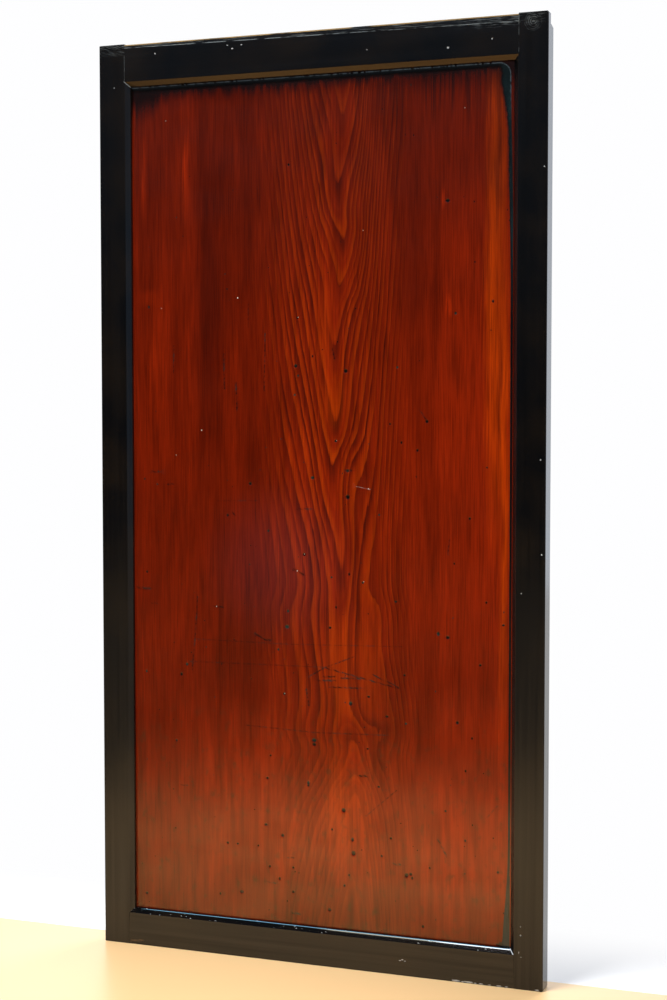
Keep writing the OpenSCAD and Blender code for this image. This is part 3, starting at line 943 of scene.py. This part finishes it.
# How the marks are cut: widths, heights and depths are shares of their sizes
dentForm = {"wide": (1.2, 1.8), "tall": (1.2, 2.0), "deep": 0.16}
fleckForm = {"wide": 0.85}
scratchForm = {
    "wide": 1.2,
    "deep": 0.1,
    "step": 4,                      # mm between the points along it
    "rows": (-1.6, -1.0, -0.5, 0, 0.5, 1.0, 1.6),
    "rim": 1.15,
    "strength": 1.6,
    "usual": 0.55,                  # it comes and goes about this share
    "faintest": 0.08,
    "waves": ((0.5, 0.55, 1.7), (0.3, 0.21, -0.8)),    # amount, radians per mm, how much more height counts
}
# Smaller pits, thrown over the board with more of them towards the foot
pits = {"seed": 11, "count": 150, "size": (1.1, 2.4), "tall": (0.9, 1.8), "towardsFoot": 1.8}
gridStep = 20                       # mm between the plain points of the face


# A place read on the front of the door, carried along the line of sight to the board's face behind it, in mm
def ontoBoard(fromLeft, fromTop):
    eye = cameraSetup["eye"]
    seen = Vector((doorLeft + fromLeft * mm, frontFace, doorTop - fromTop * mm))
    share = (boardFace - eye.y) / (frontFace - eye.y)
    return (eye + (seen - eye) * share) / mm


def smoothShare(value, low, high):
    t = np.clip((value - low) / (high - low), 0, 1)
    return t * t * (3 - 2 * t)


# Where the band's outer line runs down the right side at a height
def bandRight(z):
    drift = 1 - smoothShare(z, band["driftTop"], band["topLine"] - band["cornerRound"])
    return band["rightLine"] + band["rightDrift"] * drift


# How far a point of the face lies inside the band's outer line, and how wide the band is there, in mm
def bandReach(x, z):
    fromRight = bandRight(z) - x
    fromTop = band["topLine"] - z
    turn = band["cornerRound"]
    inCorner = (fromRight < turn) & (fromTop < turn)
    rounded = turn - np.hypot(turn - fromRight, turn - fromTop)
    inside = np.where(inCorner, rounded, np.minimum(fromRight, fromTop))
    thin = 1 - smoothShare(z - band["driftTop"], *band["thinOver"])
    foot = (1 - smoothShare(z, *band["footOver"])) ** 2
    flare = band["footFlare"] * (1 - smoothShare(z, *band["flareOver"])) ** 2
    side = band["sideWidth"] + (band["thinWidth"] - band["sideWidth"]) * thin
    side = side + (band["footWidth"] - band["thinWidth"]) * foot + flare
    side = side + band["headFlare"] * smoothShare(z - band["topLine"], *band["headOver"])
    turned = smoothShare(fromTop - fromRight, -band["turnOver"], band["turnOver"])
    width = band["topWidth"] + (side - band["topWidth"]) * turned
    return inside, width


# Rows of points along the band, from the top left corner round to the foot of the right side
def bandPoints():
    turn = band["cornerRound"]
    alongTop = np.arange(band["leftEnd"], band["rightLine"] - turn, band["step"])
    path = [(x, band["topLine"], 0, -1) for x in alongTop]
    for angle in np.radians(np.arange(90, -1, -band["cornerStep"])):
        away = (math.cos(angle), math.sin(angle))
        path.append((band["rightLine"] - turn + turn * away[0], band["topLine"] - turn + turn * away[1],
                     -away[0], -away[1]))
    downSide = np.arange(band["topLine"] - turn, band["footEnd"], -band["step"])
    path += [(bandRight(z), z, -1, 0) for z in downSide]
    spots = []
    for x, z, inX, inZ in path:
        width = float(bandReach(x + 2 * inX, z + 2 * inZ)[1])
        rows = [*band["outerRows"], width / 2, *(width + row for row in band["innerRows"])]
        spots += [(x + inX * inside, z + inZ * inside) for inside in rows]
    return spots


def scratchPoints(scratch):
    start, end = ontoBoard(*scratch[:2]), ontoBoard(*scratch[2:4])
    along = (end - start).normalized()
    aside = Vector((along.z, 0, -along.x))
    width = scratch[4] * scratchForm["wide"]
    count = max(2, round((end - start).length / scratchForm["step"]))
    rows = [start.lerp(end, i / count) for i in range(count + 1)]
    rows = [start - along * width] + rows + [end + along * width]
    return [(on.x + aside.x * offset * width, on.z + aside.z * offset * width)
            for on in rows for offset in scratchForm["rows"]]


# How far points lie in a scratch, which comes and goes along its length
def scratchShare(x, z, scratch):
    start, end = ontoBoard(*scratch[:2]), ontoBoard(*scratch[2:4])
    runX, runZ = end.x - start.x, end.z - start.z
    along = ((x - start.x) * runX + (z - start.z) * runZ) / (runX ** 2 + runZ ** 2)
    share = np.clip(along, 0, 1)
    away = np.hypot(x - start.x - share * runX, z - start.z - share * runZ)
    inScratch = np.clip(scratchForm["rim"] - away / (scratch[4] * scratchForm["wide"]), 0, 1)
    fitful = scratchForm["usual"]
    for amount, rate, lean in scratchForm["waves"]:
        fitful = fitful + amount * np.sin(rate * (x + lean * z))
    fitful = np.clip(fitful, scratchForm["faintest"], 1)
    return inScratch * fitful * min(1.0, scratchForm["strength"] * abs(scratch[5]))


def boardDents():
    chance = np.random.default_rng(pits["seed"])
    marks = []
    for fromLeft, fromTop, size in dents:
        middle = ontoBoard(fromLeft, fromTop)
        marks.append((middle.x, middle.z, size * chance.uniform(*dentForm["wide"]),
                      size * chance.uniform(*dentForm["tall"])))
    for _ in range(pits["count"]):
        x = chance.uniform(-sightX, sightX) / mm
        z = (sightFoot + (sightTop - sightFoot) * chance.uniform(0, 1) ** pits["towardsFoot"]) / mm
        size = chance.uniform(*pits["size"])
        marks.append((x, z, size, size * chance.uniform(*pits["tall"])))
    return marks


def boardFlecks():
    marks = []
    for fromLeft, fromTop, size in flecks:
        middle = ontoBoard(fromLeft, fromTop)
        marks.append((middle.x, middle.z, fleckForm["wide"] * size, fleckForm["wide"] * size))
    return marks


# What the band does to the points of the face: its height, what it covers and the painted highlight along
# its outer edge
def bandFields(x, z):
    inside, width = bandReach(x, z)
    bead = np.clip(1 - (2 * inside / width - 1) ** 2, 0, 1) * smoothShare(width, 0, band["fullRise"])
    hard, softest = band["softEdge"]
    soft = hard + (softest - hard) * smoothShare(z, *band["softOver"])
    within = inside > -band["outerGap"]
    covered = np.clip((width - inside) / (2 * soft) + 0.5, 0, 1) * within
    highlightLine = (inside < band["highlightWidth"]) * within
    highlightShare = band["highlightLeft"] + (1 - band["highlightLeft"]) * smoothShare(x, *band["highlightAcross"])
    edge = highlightLine * highlightShare * smoothShare(z, *band["highlightHeight"])
    return band["rise"] * bead, covered, edge


def buildBoard():
    bm = weldedCopy("panel")
    for face in bm.faces:
        face.material_index = 1
    darkMarks, paleMarks = boardDents(), boardFlecks()
    points = [(x, z) for x in np.arange(boardLow.x / mm + gridStep, boardHigh.x / mm, gridStep)
              for z in np.arange(boardLow.z / mm + gridStep, boardHigh.z / mm, gridStep)]
    points += bandPoints()
    for mark in darkMarks + paleMarks:
        points += ringPoints(mark)
    for scratch in scratches:
        points += scratchPoints(scratch)
    x, z, fresh = patchFront(bm, points, ("dark", "pale", "band", "bandEdge"))

    sunk, dark, pale = np.zeros(len(x)), np.zeros(len(x)), np.zeros(len(x))
    for mark in darkMarks + paleMarks:
        sunk = np.maximum(sunk, dentForm["deep"] * min(mark[2:]) * markShare(x, z, mark))
    for mark in darkMarks:
        dark = np.maximum(dark, markShare(x, z, mark))
    for mark in paleMarks:
        pale = np.maximum(pale, markShare(x, z, mark))
    for scratch in scratches:
        share = scratchShare(x, z, scratch)
        sunk = np.maximum(sunk, scratchForm["deep"] * scratch[4] * share)
        if scratch[5] > 0:
            dark = np.maximum(dark, share)
        else:
            pale = np.maximum(pale, share)
    raised, covered, edge = bandFields(x, z)
    dressPoints(bm, fresh, sunk - raised, {"dark": dark, "pale": pale, "band": covered, "bandEdge": edge})
    shadeByAngle(bm)
    addPiece("boardPanel", bm, [redLacquerOverBoard(), wipedBoardBack()], ["panel"])


# Streaks of darker and more orange wood, with two short dashes at 250 and 264 mm that are painted glints:
# middle, half width, lowest, highest in mm, colour, strength
streaks = [
    (350, 14, 760, 1760, "orange", 1.0), (353, 12, 1180, 1960, "orange", 0.8),
    (367, 7, 380, 1500, "orange", 0.95), (355, 4, 1320, 1660, "maroon", 0.65),
    (360, 3, 900, 1250, "maroon", 0.45), (-217, 20, 900, 1640, "maroon", 0.50),
    (195, 30, 1130, 1600, "maroon", 0.40), (-352, 6, 1400, 1620, "flameAndGlint", 0.80),
    (-262, 6, 1400, 1600, "flameAndGlint", 0.85), (-284, 8, 1340, 1610, "flameAndGlint", 0.40),
    # the short narrow flame dashes at 250 and 264 mm are painted glints, not wood
    (-330, 14, 1000, 1300, "flameAndGlint", 0.40), (250, 2.5, 1415, 1460, "flameAndGlint", 0.80),
    (264, 2.5, 1220, 1268, "flameAndGlint", 0.80), (-345, 16, 1250, 1290, "flameAndGlint", 0.40),
    (52, 26, 430, 680, "orange", 0.35), (36, 18, 1010, 1130, "orange", 0.50),
    (20, 12, 1100, 1300, "orange", 0.30), (40, 16, 250, 440, "orange", 0.45),
    (70, 34, 170, 400, "orange", 0.45), (0, 420, -300, 520, "orange", 0.30),
]
streakForm = {
    "bend": 30.0,                   # mm that they wander
    "fray": 8.0,                    # mm that single fibres stand out
    "fibreShare": (0.55, 1.0),
    "width": (0.2, 1.5),            # full within this share of the half width, then fading over that one
    "height": (0.15, 0.35),         # the same for the height
}


# Distance from the tongues' middle line, and the count of year rings
def countRings(tree, inMm, across, up):
    ends = [(height, right) for height, right, _ in tongues]
    counts = [(height, count) for height, _, count in tongues]
    fromLine = addNode(tree, "Math", {0: across, 1: curveThrough(tree, up, flankLine)}, operation="SUBTRACT")
    offLine = addNode(tree, "Math", {0: fromLine}, operation="ABSOLUTE")
    start, end = ringSet["beside"]
    beside = addNode(tree, "MapRange", {0: offLine, 1: start, 2: end}, **softEnds)
    fromEnd = addNode(tree, "Math", {0: across, 1: curveThrough(tree, up, ends)}, operation="SUBTRACT")
    fromMiddle = addNode(tree, "Mix", {0: beside, 2: fromEnd, 3: fromLine})
    rings = addNode(tree, "Mix", {0: beside, 2: curveThrough(tree, up, counts),
                                  3: curveThrough(tree, up, flankRings)})
    # At the sides the count hardly changes with height, so the rings stand upright there
    low, high = ringSet["uprightCount"]
    upright = addNode(tree, "MapRange", {0: rings, 1: 0.0, 2: ringSet["uprightSpan"], 3: low, 4: high})
    start, end = ringSet["uprightRight"]
    toRight = addNode(tree, "MapRange", {0: fromMiddle, 1: start, 2: end}, **softEnds)
    start, end = ringSet["uprightLeft"]
    toLeft = addNode(tree, "MapRange", {0: fromMiddle, 1: start, 2: end, 3: 0.0, 4: ringSet["leftShare"]},
                     **softEnds)
    atSides = addNode(tree, "Math", {0: toRight, 1: toLeft}, operation="MAXIMUM")
    rings = addNode(tree, "Mix", {0: atSides, 2: rings, 3: upright})
    # More rings outwards, and the wavering of slow, quick and single fibres
    side = addNode(tree, "Math", {0: fromMiddle}, operation="ABSOLUTE")
    slope = addNode(tree, "Math", {0: side, 1: ringSet["across"]}, operation="MULTIPLY")
    blunt = curveThrough(tree, up, tipRound)
    squared = addNode(tree, "Math", {0: slope, 1: slope, 2: blunt}, operation="MULTIPLY_ADD")
    rounded = addNode(tree, "Math", {0: squared}, operation="SQRT")
    tip = addNode(tree, "Math", {0: blunt}, operation="SQRT")
    outwards = addNode(tree, "Math", {0: rounded, 1: tip}, operation="SUBTRACT")
    rings = addNode(tree, "Math", {0: rings, 1: outwards}, operation="ADD")
    rings = addNode(tree, "Math", {0: fromMiddle, 1: ringSet["lean"], 2: rings}, operation="MULTIPLY_ADD")
    for sizes, amount in ringSet["waver"]:
        waver = patches(tree, inMm, sizes, 0.0, 1.0, 1.0)
        rings = addNode(tree, "Math", {0: waver, 1: amount, 2: rings}, operation="MULTIPLY_ADD")
    half = sum(amount for _, amount in ringSet["waver"]) / 2
    rings = addNode(tree, "Math", {0: rings, 1: half}, operation="SUBTRACT")
    return fromMiddle, rings


# Each ring is dark just outside its line and brightens outwards up to the next; every second one is strong
def ringColour(tree, inMm, up, atFoot, fromMiddle, rings):
    ringPatches = patches(tree, inMm, *boardPatterns["ringPatches"])
    low, high = ringSet["byPatch"]
    patchy = addNode(tree, "MapRange", {0: ringPatches, 3: low, 4: high})
    start, end = ringSet["headHeight"]
    palerHead = addNode(tree, "MapRange", {0: up, 1: start, 2: end, 3: 1.0, 4: ringSet["headShare"]})
    palerFoot = addNode(tree, "MapRange", {0: atFoot, 3: 1.0, 4: ringSet["footShare"]})
    patchy = multiplied(tree, patchy, palerFoot, palerHead)
    lateShare, glintShare = 0.0, 0.0
    for perRing, bySide in ((0.5, strongBySide), (1.0, fineBySide)):
        counted = addNode(tree, "Math", {0: rings, 1: perRing}, operation="MULTIPLY")
        part = addNode(tree, "Math", {0: counted}, operation="FRACT")
        number = addNode(tree, "Math", {0: counted}, operation="FLOOR")
        chance = addNode(tree, "TexWhiteNoise", {"W": number}, noise_dimensions="1D")
        low, high = ringSet["byChance"]
        byChance = addNode(tree, "MapRange", {0: chance, 3: low, 4: high})
        strength = multiplied(tree, byChance, curveThrough(tree, fromMiddle, bySide), patchy)
        fading = addNode(tree, "MapRange", {0: part, 1: 0.0, 2: ringSet["lateUntil"], 3: 1.0, 4: 0.0},
                         **softEnds)
        starting = addNode(tree, "MapRange", {0: part, 1: ringSet["lateFrom"], 2: 1.0})
        late = addNode(tree, "Math", {0: fading, 1: starting}, operation="MAXIMUM")
        lateShare = addNode(tree, "Math", {0: multiplied(tree, late, strength), 1: lateShare},
                            operation="MAXIMUM")
        start, end = ringSet["glint"]
        rising = addNode(tree, "MapRange", {0: part, 1: start, 2: end}, **softEnds)
        ending = addNode(tree, "MapRange", {0: part, 1: ringSet["lateFrom"], 2: 1.0, 3: 1.0, 4: 0.0})
        glint = multiplied(tree, rising, ending, strength)
        glintShare = addNode(tree, "Math", {0: glint, 1: glintShare}, operation="MAXIMUM")
    side = addNode(tree, "Math", {0: fromMiddle}, operation="ABSOLUTE")
    start, end = ringSet["tongueEdge"]
    low, high = ringSet["glintShare"]
    inTongue = addNode(tree, "MapRange", {0: side, 1: start, 2: end, 3: low, 4: high})
    layers = [(multiplied(tree, lateShare, ringSet["lateShare"]), "late"),
              (multiplied(tree, glintShare, inTongue), "glint")]
    return layColours(tree, toLinear(board["middle"]), layers, board)


# Shares of the streaks, which the fibre frays
def streakLayers(tree, inMm, across, up, fibre):
    low, high = streakForm["fibreShare"]
    fibreShare = addNode(tree, "MapRange", {0: fibre, 3: low, 4: high})
    bend = streakForm["bend"]
    bends = patches(tree, inMm, *boardPatterns["streakBends"])
    bent = addNode(tree, "Math", {0: bends, 1: bend, 2: -bend / 2}, operation="MULTIPLY_ADD")
    frayed = addNode(tree, "Math", {0: fibre, 1: streakForm["fray"], 2: bent}, operation="MULTIPLY_ADD")
    streakX = addNode(tree, "Math", {0: across, 1: frayed}, operation="ADD")
    layers = []
    for middle, half, lowest, highest, shade, strength in streaks:
        aside = addNode(tree, "Math", {0: streakX, 1: float(middle)}, operation="SUBTRACT")
        wide = nearZero(tree, aside, *(half * share for share in streakForm["width"]))
        above = addNode(tree, "Math", {0: up, 1: (lowest + highest) / 2}, operation="SUBTRACT")
        tall = nearZero(tree, above, *((highest - lowest) * share for share in streakForm["height"]))
        layers.append((multiplied(tree, wide, tall, strength, fibreShare), shade))
    return layers


# Brightness of the wood: its fibre, belts and clouds, streaks at the foot, slow changes across, and a change
# up the board that is partly painted shade
def woodTone(tree, inMm, across, up, atFoot, fibre):
    tones = {}
    for name, (darkest, brightest) in toneRange.items():
        pattern = fibre if name == "fibre" else patches(tree, inMm, *boardPatterns[name])
        tones[name] = addNode(tree, "MapRange", {0: pattern, 3: darkest, 4: brightest})
    threads = patches(tree, inMm, *boardPatterns["threads"])
    darkest = addNode(tree, "MapRange", {0: atFoot, 3: threadTones["dark"], 4: threadTones["darkAtFoot"]})
    threadTone = addNode(tree, "MapRange", {0: threads, 3: darkest, 4: threadTones["bright"]})
    grainTone = multiplied(tree, tones["fibre"], threadTone, tones["belts"])
    streaky = addNode(tree, "MapRange", {0: atFoot, 3: streakyShare[0], 4: streakyShare[1]})
    grainTone = addNode(tree, "Mix", {0: streaky, 2: grainTone, 3: tones["footStreaks"]})
    atLeft = addNode(tree, "MapRange", {0: across, 1: leftSide[0], 2: leftSide[1], 3: 0.0, 4: leftShare})
    # the curve up the board is partly painted shade, darker at the head
    heightToneAndShade = addNode(tree, "Mix", {0: atLeft, 2: curveThrough(tree, up, toneAndShadeUp), 3: 1.0})
    acrossTone = addNode(tree, "Mix", {0: atFoot, 2: curveThrough(tree, across, toneAcross),
                                       3: curveThrough(tree, across, toneFoot)})
    return multiplied(tree, grainTone, tones["clouds"], heightToneAndShade, acrossTone)


# Lacquer dragged down from the board's top edge, and a darker strip right of the band, in mm
drag = {
    "fingers": (14.0, 40.0),        # shortest and longest
    "corner": (-392.0, -290.0),     # where the left corner's longer ones start and end
    "cornerLength": 66.0,
    "cornerRagged": (0.45, 1.2),
    "fingerFade": (0.30, 1.25),     # shares of their length
    "fingerShare": 0.92,
    "comb": (20.0, 130.0),
    "combZone": [(60, 0.0), (170, 0.6), (280, 0.95), (340, 0.85), (365, 0.0)],
    "combFade": (0.1, 1.2),
    "smoke": (4.0, 50.0),
    "smokeShare": 0.85,
    "cornerSmoke": (12.0, 62.0),
    "cornerSmokePlace": (366.0, 1668.0),
    "cornerSmokeShare": 0.9,
    "outsideSoft": 4.0,             # it also darkens what lies right of the band
    "outsideShare": 0.4,
    "outsideHeight": (900.0, 1400.0),
}


# Soft fingers, deepest in the left corner, and on the right a comb of fine lines with smoke about it; it
# also darkens the strip between the band and the right stile, higher up the board
def draggedShare(tree, inMm, across, up):
    fromTop = addNode(tree, "Math", {0: sightTop / mm, 1: up}, operation="SUBTRACT")
    low, high = drag["fingers"]
    length = addNode(tree, "MapRange", {0: patches(tree, inMm, *boardPatterns["fingers"]), 3: low, 4: high})
    start, end = drag["corner"]
    inCorner = addNode(tree, "MapRange", {0: across, 1: start, 2: end, 3: drag["cornerLength"], 4: 0.0},
                       **softEnds)
    low, high = drag["cornerRagged"]
    cornerFingers = patches(tree, inMm, *boardPatterns["cornerFingers"])
    ragged = addNode(tree, "MapRange", {0: cornerFingers, 3: low, 4: high})
    reach = addNode(tree, "Math", {0: length, 1: multiplied(tree, inCorner, ragged)}, operation="ADD")
    part = addNode(tree, "Math", {0: fromTop, 1: reach}, operation="DIVIDE")
    start, end = drag["fingerFade"]
    fingers = addNode(tree, "MapRange", {0: part, 1: start, 2: end, 3: drag["fingerShare"], 4: 0.0},
                      **softEnds)

    combZone = curveThrough(tree, across, drag["combZone"])
    low, high = drag["comb"]
    combLengths = patches(tree, inMm, *boardPatterns["combReach"])
    combReach = addNode(tree, "MapRange", {0: combLengths, 3: low, 4: high})
    combPart = addNode(tree, "Math", {0: fromTop, 1: combReach}, operation="DIVIDE")
    start, end = drag["combFade"]
    combFade = addNode(tree, "MapRange", {0: combPart, 1: start, 2: end, 3: 1.0, 4: 0.0})
    comb = multiplied(tree, patches(tree, inMm, *boardPatterns["comb"]), combZone, combFade)

    start, end = drag["smoke"]
    fading = addNode(tree, "MapRange", {0: fromTop, 1: start, 2: end, 3: drag["smokeShare"], 4: 0.0})
    smoke = multiplied(tree, fading, combZone)
    smokeX, smokeZ = drag["cornerSmokePlace"]
    away = addNode(tree, "VectorMath", {0: inMm, 1: (smokeX, boardFace / mm, smokeZ)}, out="Value",
                   operation="DISTANCE")
    start, end = drag["cornerSmoke"]
    cornerSmoke = addNode(tree, "MapRange", {0: away, 1: start, 2: end, 3: drag["cornerSmokeShare"], 4: 0.0})

    # darker strip between the band's line and the right stile, fading in from 900 mm up
    bandLine = band["rightLine"]
    outside = addNode(tree, "MapRange", {0: across, 1: bandLine, 2: bandLine + drag["outsideSoft"],
                                         3: 0.0, 4: drag["outsideShare"]})
    start, end = drag["outsideHeight"]
    outside = multiplied(tree, outside, addNode(tree, "MapRange", {0: up, 1: start, 2: end}))
    dragged = fingers
    for share in (comb, smoke, cornerSmoke, outside):
        dragged = addNode(tree, "Math", {0: dragged, 1: share}, operation="MAXIMUM")
    return dragged


# The band itself, with ragged edges, a painted highlight along its outer line and a painted teal reflection
# at the right
def bandLayers(tree, inMm, across, up):
    bandField = addNode(tree, "Attribute", out="Fac", attribute_name="band")
    bandRagged = patches(tree, inMm, *boardPatterns["bandRagged"])
    ragged = addNode(tree, "MapRange", {0: bandRagged, 3: -band["ragged"], 4: band["ragged"]})
    frayed = addNode(tree, "Math", {0: bandField, 1: ragged}, operation="ADD")
    start, end = band["cut"]
    bandShare = addNode(tree, "MapRange", {0: frayed, 1: start, 2: end})
    # bandEdge marks the band's outer line, where a pale highlight is painted
    edgeLine = addNode(tree, "Attribute", out="Fac", attribute_name="bandEdge")
    edgeShare = multiplied(tree, edgeLine, patches(tree, inMm, *boardPatterns["bandEdge"]))
    # teal painted on the right of the band as a reflection of the bluish window light
    start, end = band["sheenAcross"]
    atRight = addNode(tree, "MapRange", {0: across, 1: start, 2: end})
    sheenShare = multiplied(tree, bandField, bandField, bandField, atRight,
                           curveThrough(tree, up, band["sheenUp"]),
                           patches(tree, inMm, *boardPatterns["bandTealSheen"]))
    return [(bandShare, "bandBlack"), (sheenShare, "bandTealSheen"), (edgeShare, "bandEdgeHighlight")]


# A painted bluish reflection, and grime of age at the foot
def reflectionAndGrimeLayers(tree, inMm, atFoot):
    # the bluish haze is a reflection painted into the colour, round a place in the middle of the board
    away = addNode(tree, "VectorMath", {0: inMm, 1: board["paintedReflectionPlace"]}, out="Value", operation="DISTANCE")
    start, end = board["paintedReflectionReach"]
    paintedReflection = addNode(tree, "MapRange", {0: away, 1: start, 2: end, 3: board["paintedReflectionShare"], 4: 0.0},
                    **softEnds)
    grime = multiplied(tree, patches(tree, inMm, *boardPatterns["grime"]), atFoot, board["grimeShare"])
    return [(paintedReflection, "paintedReflection"), (grime, "grime")]


# Dents are black, some with a painted teal highlight, and flecks are pale
def dentLayers(tree, inMm):
    dark = addNode(tree, "Attribute", out="Fac", attribute_name="dark")
    pale = addNode(tree, "Attribute", out="Fac", attribute_name="pale")
    # teal painted into some dents as the highlight they catch
    teal = multiplied(tree, dark, patches(tree, inMm, *boardPatterns["dentTealGlint"]), board["dentTealGlintShare"])
    return [(dark, "dentBlack"), (teal, "dentTealGlint"), (pale, "speck")]


# Clear red lacquer, wiped in coats over a planed flat-sawn board and rubbed: warm red wood with a wet depth,
# bright early wood, darker late wood, and a soft mirror of the floor over its lower part
def redLacquerOverBoard():
    material, tree = newMaterial("Clear red lacquer over a flat-sawn board")
    inMm = placeInMm(tree)
    across, _, up = addNode(tree, "SeparateXYZ", {0: inMm}).node.outputs
    start, end = board["footHeight"]
    atFoot = addNode(tree, "MapRange", {0: up, 1: start, 2: end}, **softEnds)
    fibre = patches(tree, inMm, *boardPatterns["fibre"])
    fromMiddle, rings = countRings(tree, inMm, across, up)
    colour = ringColour(tree, inMm, up, atFoot, fromMiddle, rings)
    colour = layColours(tree, colour, streakLayers(tree, inMm, across, up, fibre), board)
    tone = woodTone(tree, inMm, across, up, atFoot, fibre)
    colour = addNode(tree, "VectorMath", {0: colour, "Scale": tone}, operation="SCALE")
    layers = reflectionAndGrimeLayers(tree, inMm, atFoot)
    layers += [(draggedShare(tree, inMm, across, up), "bandBlack")]
    layers += bandLayers(tree, inMm, across, up) + dentLayers(tree, inMm)
    colour = layColours(tree, colour, layers, board)

    low, high = board["roughness"]
    haze = patches(tree, inMm, *boardPatterns["haze"])
    gloss = addNode(tree, "MapRange", {0: haze, 3: low, 4: high})
    polish = curveThrough(tree, up, [(60, board["footGloss"]), (200, board["footGloss"]),
                                     (470, board["bellyGloss"]), (1150, board["bellyGloss"]),
                                     (1600, board["headGloss"]), (1690, board["headGloss"])])
    low, high = board["rubbedGloss"]
    rubbed = addNode(tree, "MapRange", {0: patches(tree, inMm, *boardPatterns["rubbed"]), 3: low, 4: high})
    start, end = board["dustHeight"]
    dusty = addNode(tree, "MapRange", {0: up, 1: start, 2: end})
    tint = layColours(tree, toLinear(board["tint"]), [(dusty, "dust")], board)
    relief = addNode(tree, "Bump", {"Height": fibre, "Distance": board["fibreRelief"] * mm, "Strength": 0.6},
                     out="Normal")
    shader = addNode(tree, "BsdfPrincipled", {"Base Color": colour, "Roughness": gloss, "IOR": board["ior"],
                                              "Specular IOR Level": multiplied(tree, polish, rubbed),
                                              "Specular Tint": tint, "Normal": relief})
    finishMaterial(tree, shader)
    return material


# Back and edges of the board: planed softwood wiped with thin brown lacquer, which leaves its fibre open
# and dull
boardBack = {
    "wood": "#4A2B1D",
    "fibre": ((3.2, 3.2, 260), 0.28, 0.72, 4.0),
    "fibreTone": (0.6, 1.3),
    "belts": ((28, 28, 700), 0.28, 0.72, 3.0),
    "beltTone": (0.7, 1.25),
    "fibreRelief": 0.12,            # mm
    "ior": 1.5,
    "roughness": 0.52,
}


def wipedBoardBack():
    material, tree = newMaterial("Planed board wiped with thin lacquer")
    inMm = placeInMm(tree)
    fibre = patches(tree, inMm, *boardBack["fibre"])
    belts = patches(tree, inMm, *boardBack["belts"])
    low, high = boardBack["fibreTone"]
    fibreTone = addNode(tree, "MapRange", {0: fibre, 3: low, 4: high})
    low, high = boardBack["beltTone"]
    beltTone = addNode(tree, "MapRange", {0: belts, 3: low, 4: high})
    tone = multiplied(tree, fibreTone, beltTone)
    wood = toLinear(boardBack["wood"])[:3]
    colour = addNode(tree, "VectorMath", {0: wood, "Scale": tone}, operation="SCALE")
    relief = addNode(tree, "Bump", {"Height": fibre, "Distance": boardBack["fibreRelief"] * mm,
                                    "Strength": 0.7}, out="Normal")
    shader = addNode(tree, "BsdfPrincipled", {"Base Color": colour, "Roughness": boardBack["roughness"],
                                              "IOR": boardBack["ior"], "Normal": relief})
    finishMaterial(tree, shader)
    return material


buildBoard()
print("board built")


# Wedges of split hardwood, pale and dull inside the tenons, with the black lacquer over their sawn ends
wedge = {
    "wood": "#A8835A",
    "late": "#7C5936",
    "lacquer": "#08080A",
    "fibre": ((40, 0.9, 0.9), 0.3, 0.7, 3.0),
    "coat": (0.3, 0.2),             # mm, how deep the lacquer lies on the ends, and how softly it stops
    "woodRoughness": 0.6,
    "coatRoughness": 0.16,
    "ior": 1.5,
}


def splitWedgeWood():
    material, tree = newMaterial("Split hardwood with lacquered ends")
    inMm = placeInMm(tree)
    across = addNode(tree, "SeparateXYZ", {0: inMm}, out="X")
    fibre = patches(tree, inMm, *wedge["fibre"])
    side = addNode(tree, "Math", {0: across}, operation="ABSOLUTE")
    fromEnd = addNode(tree, "Math", {0: side, 1: -doorLeft / mm}, operation="SUBTRACT")
    atEnd = nearZero(tree, fromEnd, *wedge["coat"])
    colour = layColours(tree, toLinear(wedge["wood"]), [(fibre, "late"), (atEnd, "lacquer")], wedge)
    gloss = addNode(tree, "MapRange", {0: atEnd, 3: wedge["woodRoughness"], 4: wedge["coatRoughness"]})
    shader = addNode(tree, "BsdfPrincipled", {"Base Color": colour, "Roughness": gloss, "IOR": wedge["ior"]})
    finishMaterial(tree, shader)
    return material


nodes["tenon_wedges"].data.materials.clear()
nodes["tenon_wedges"].data.materials.append(splitWedgeWood())
print("wedges dressed")
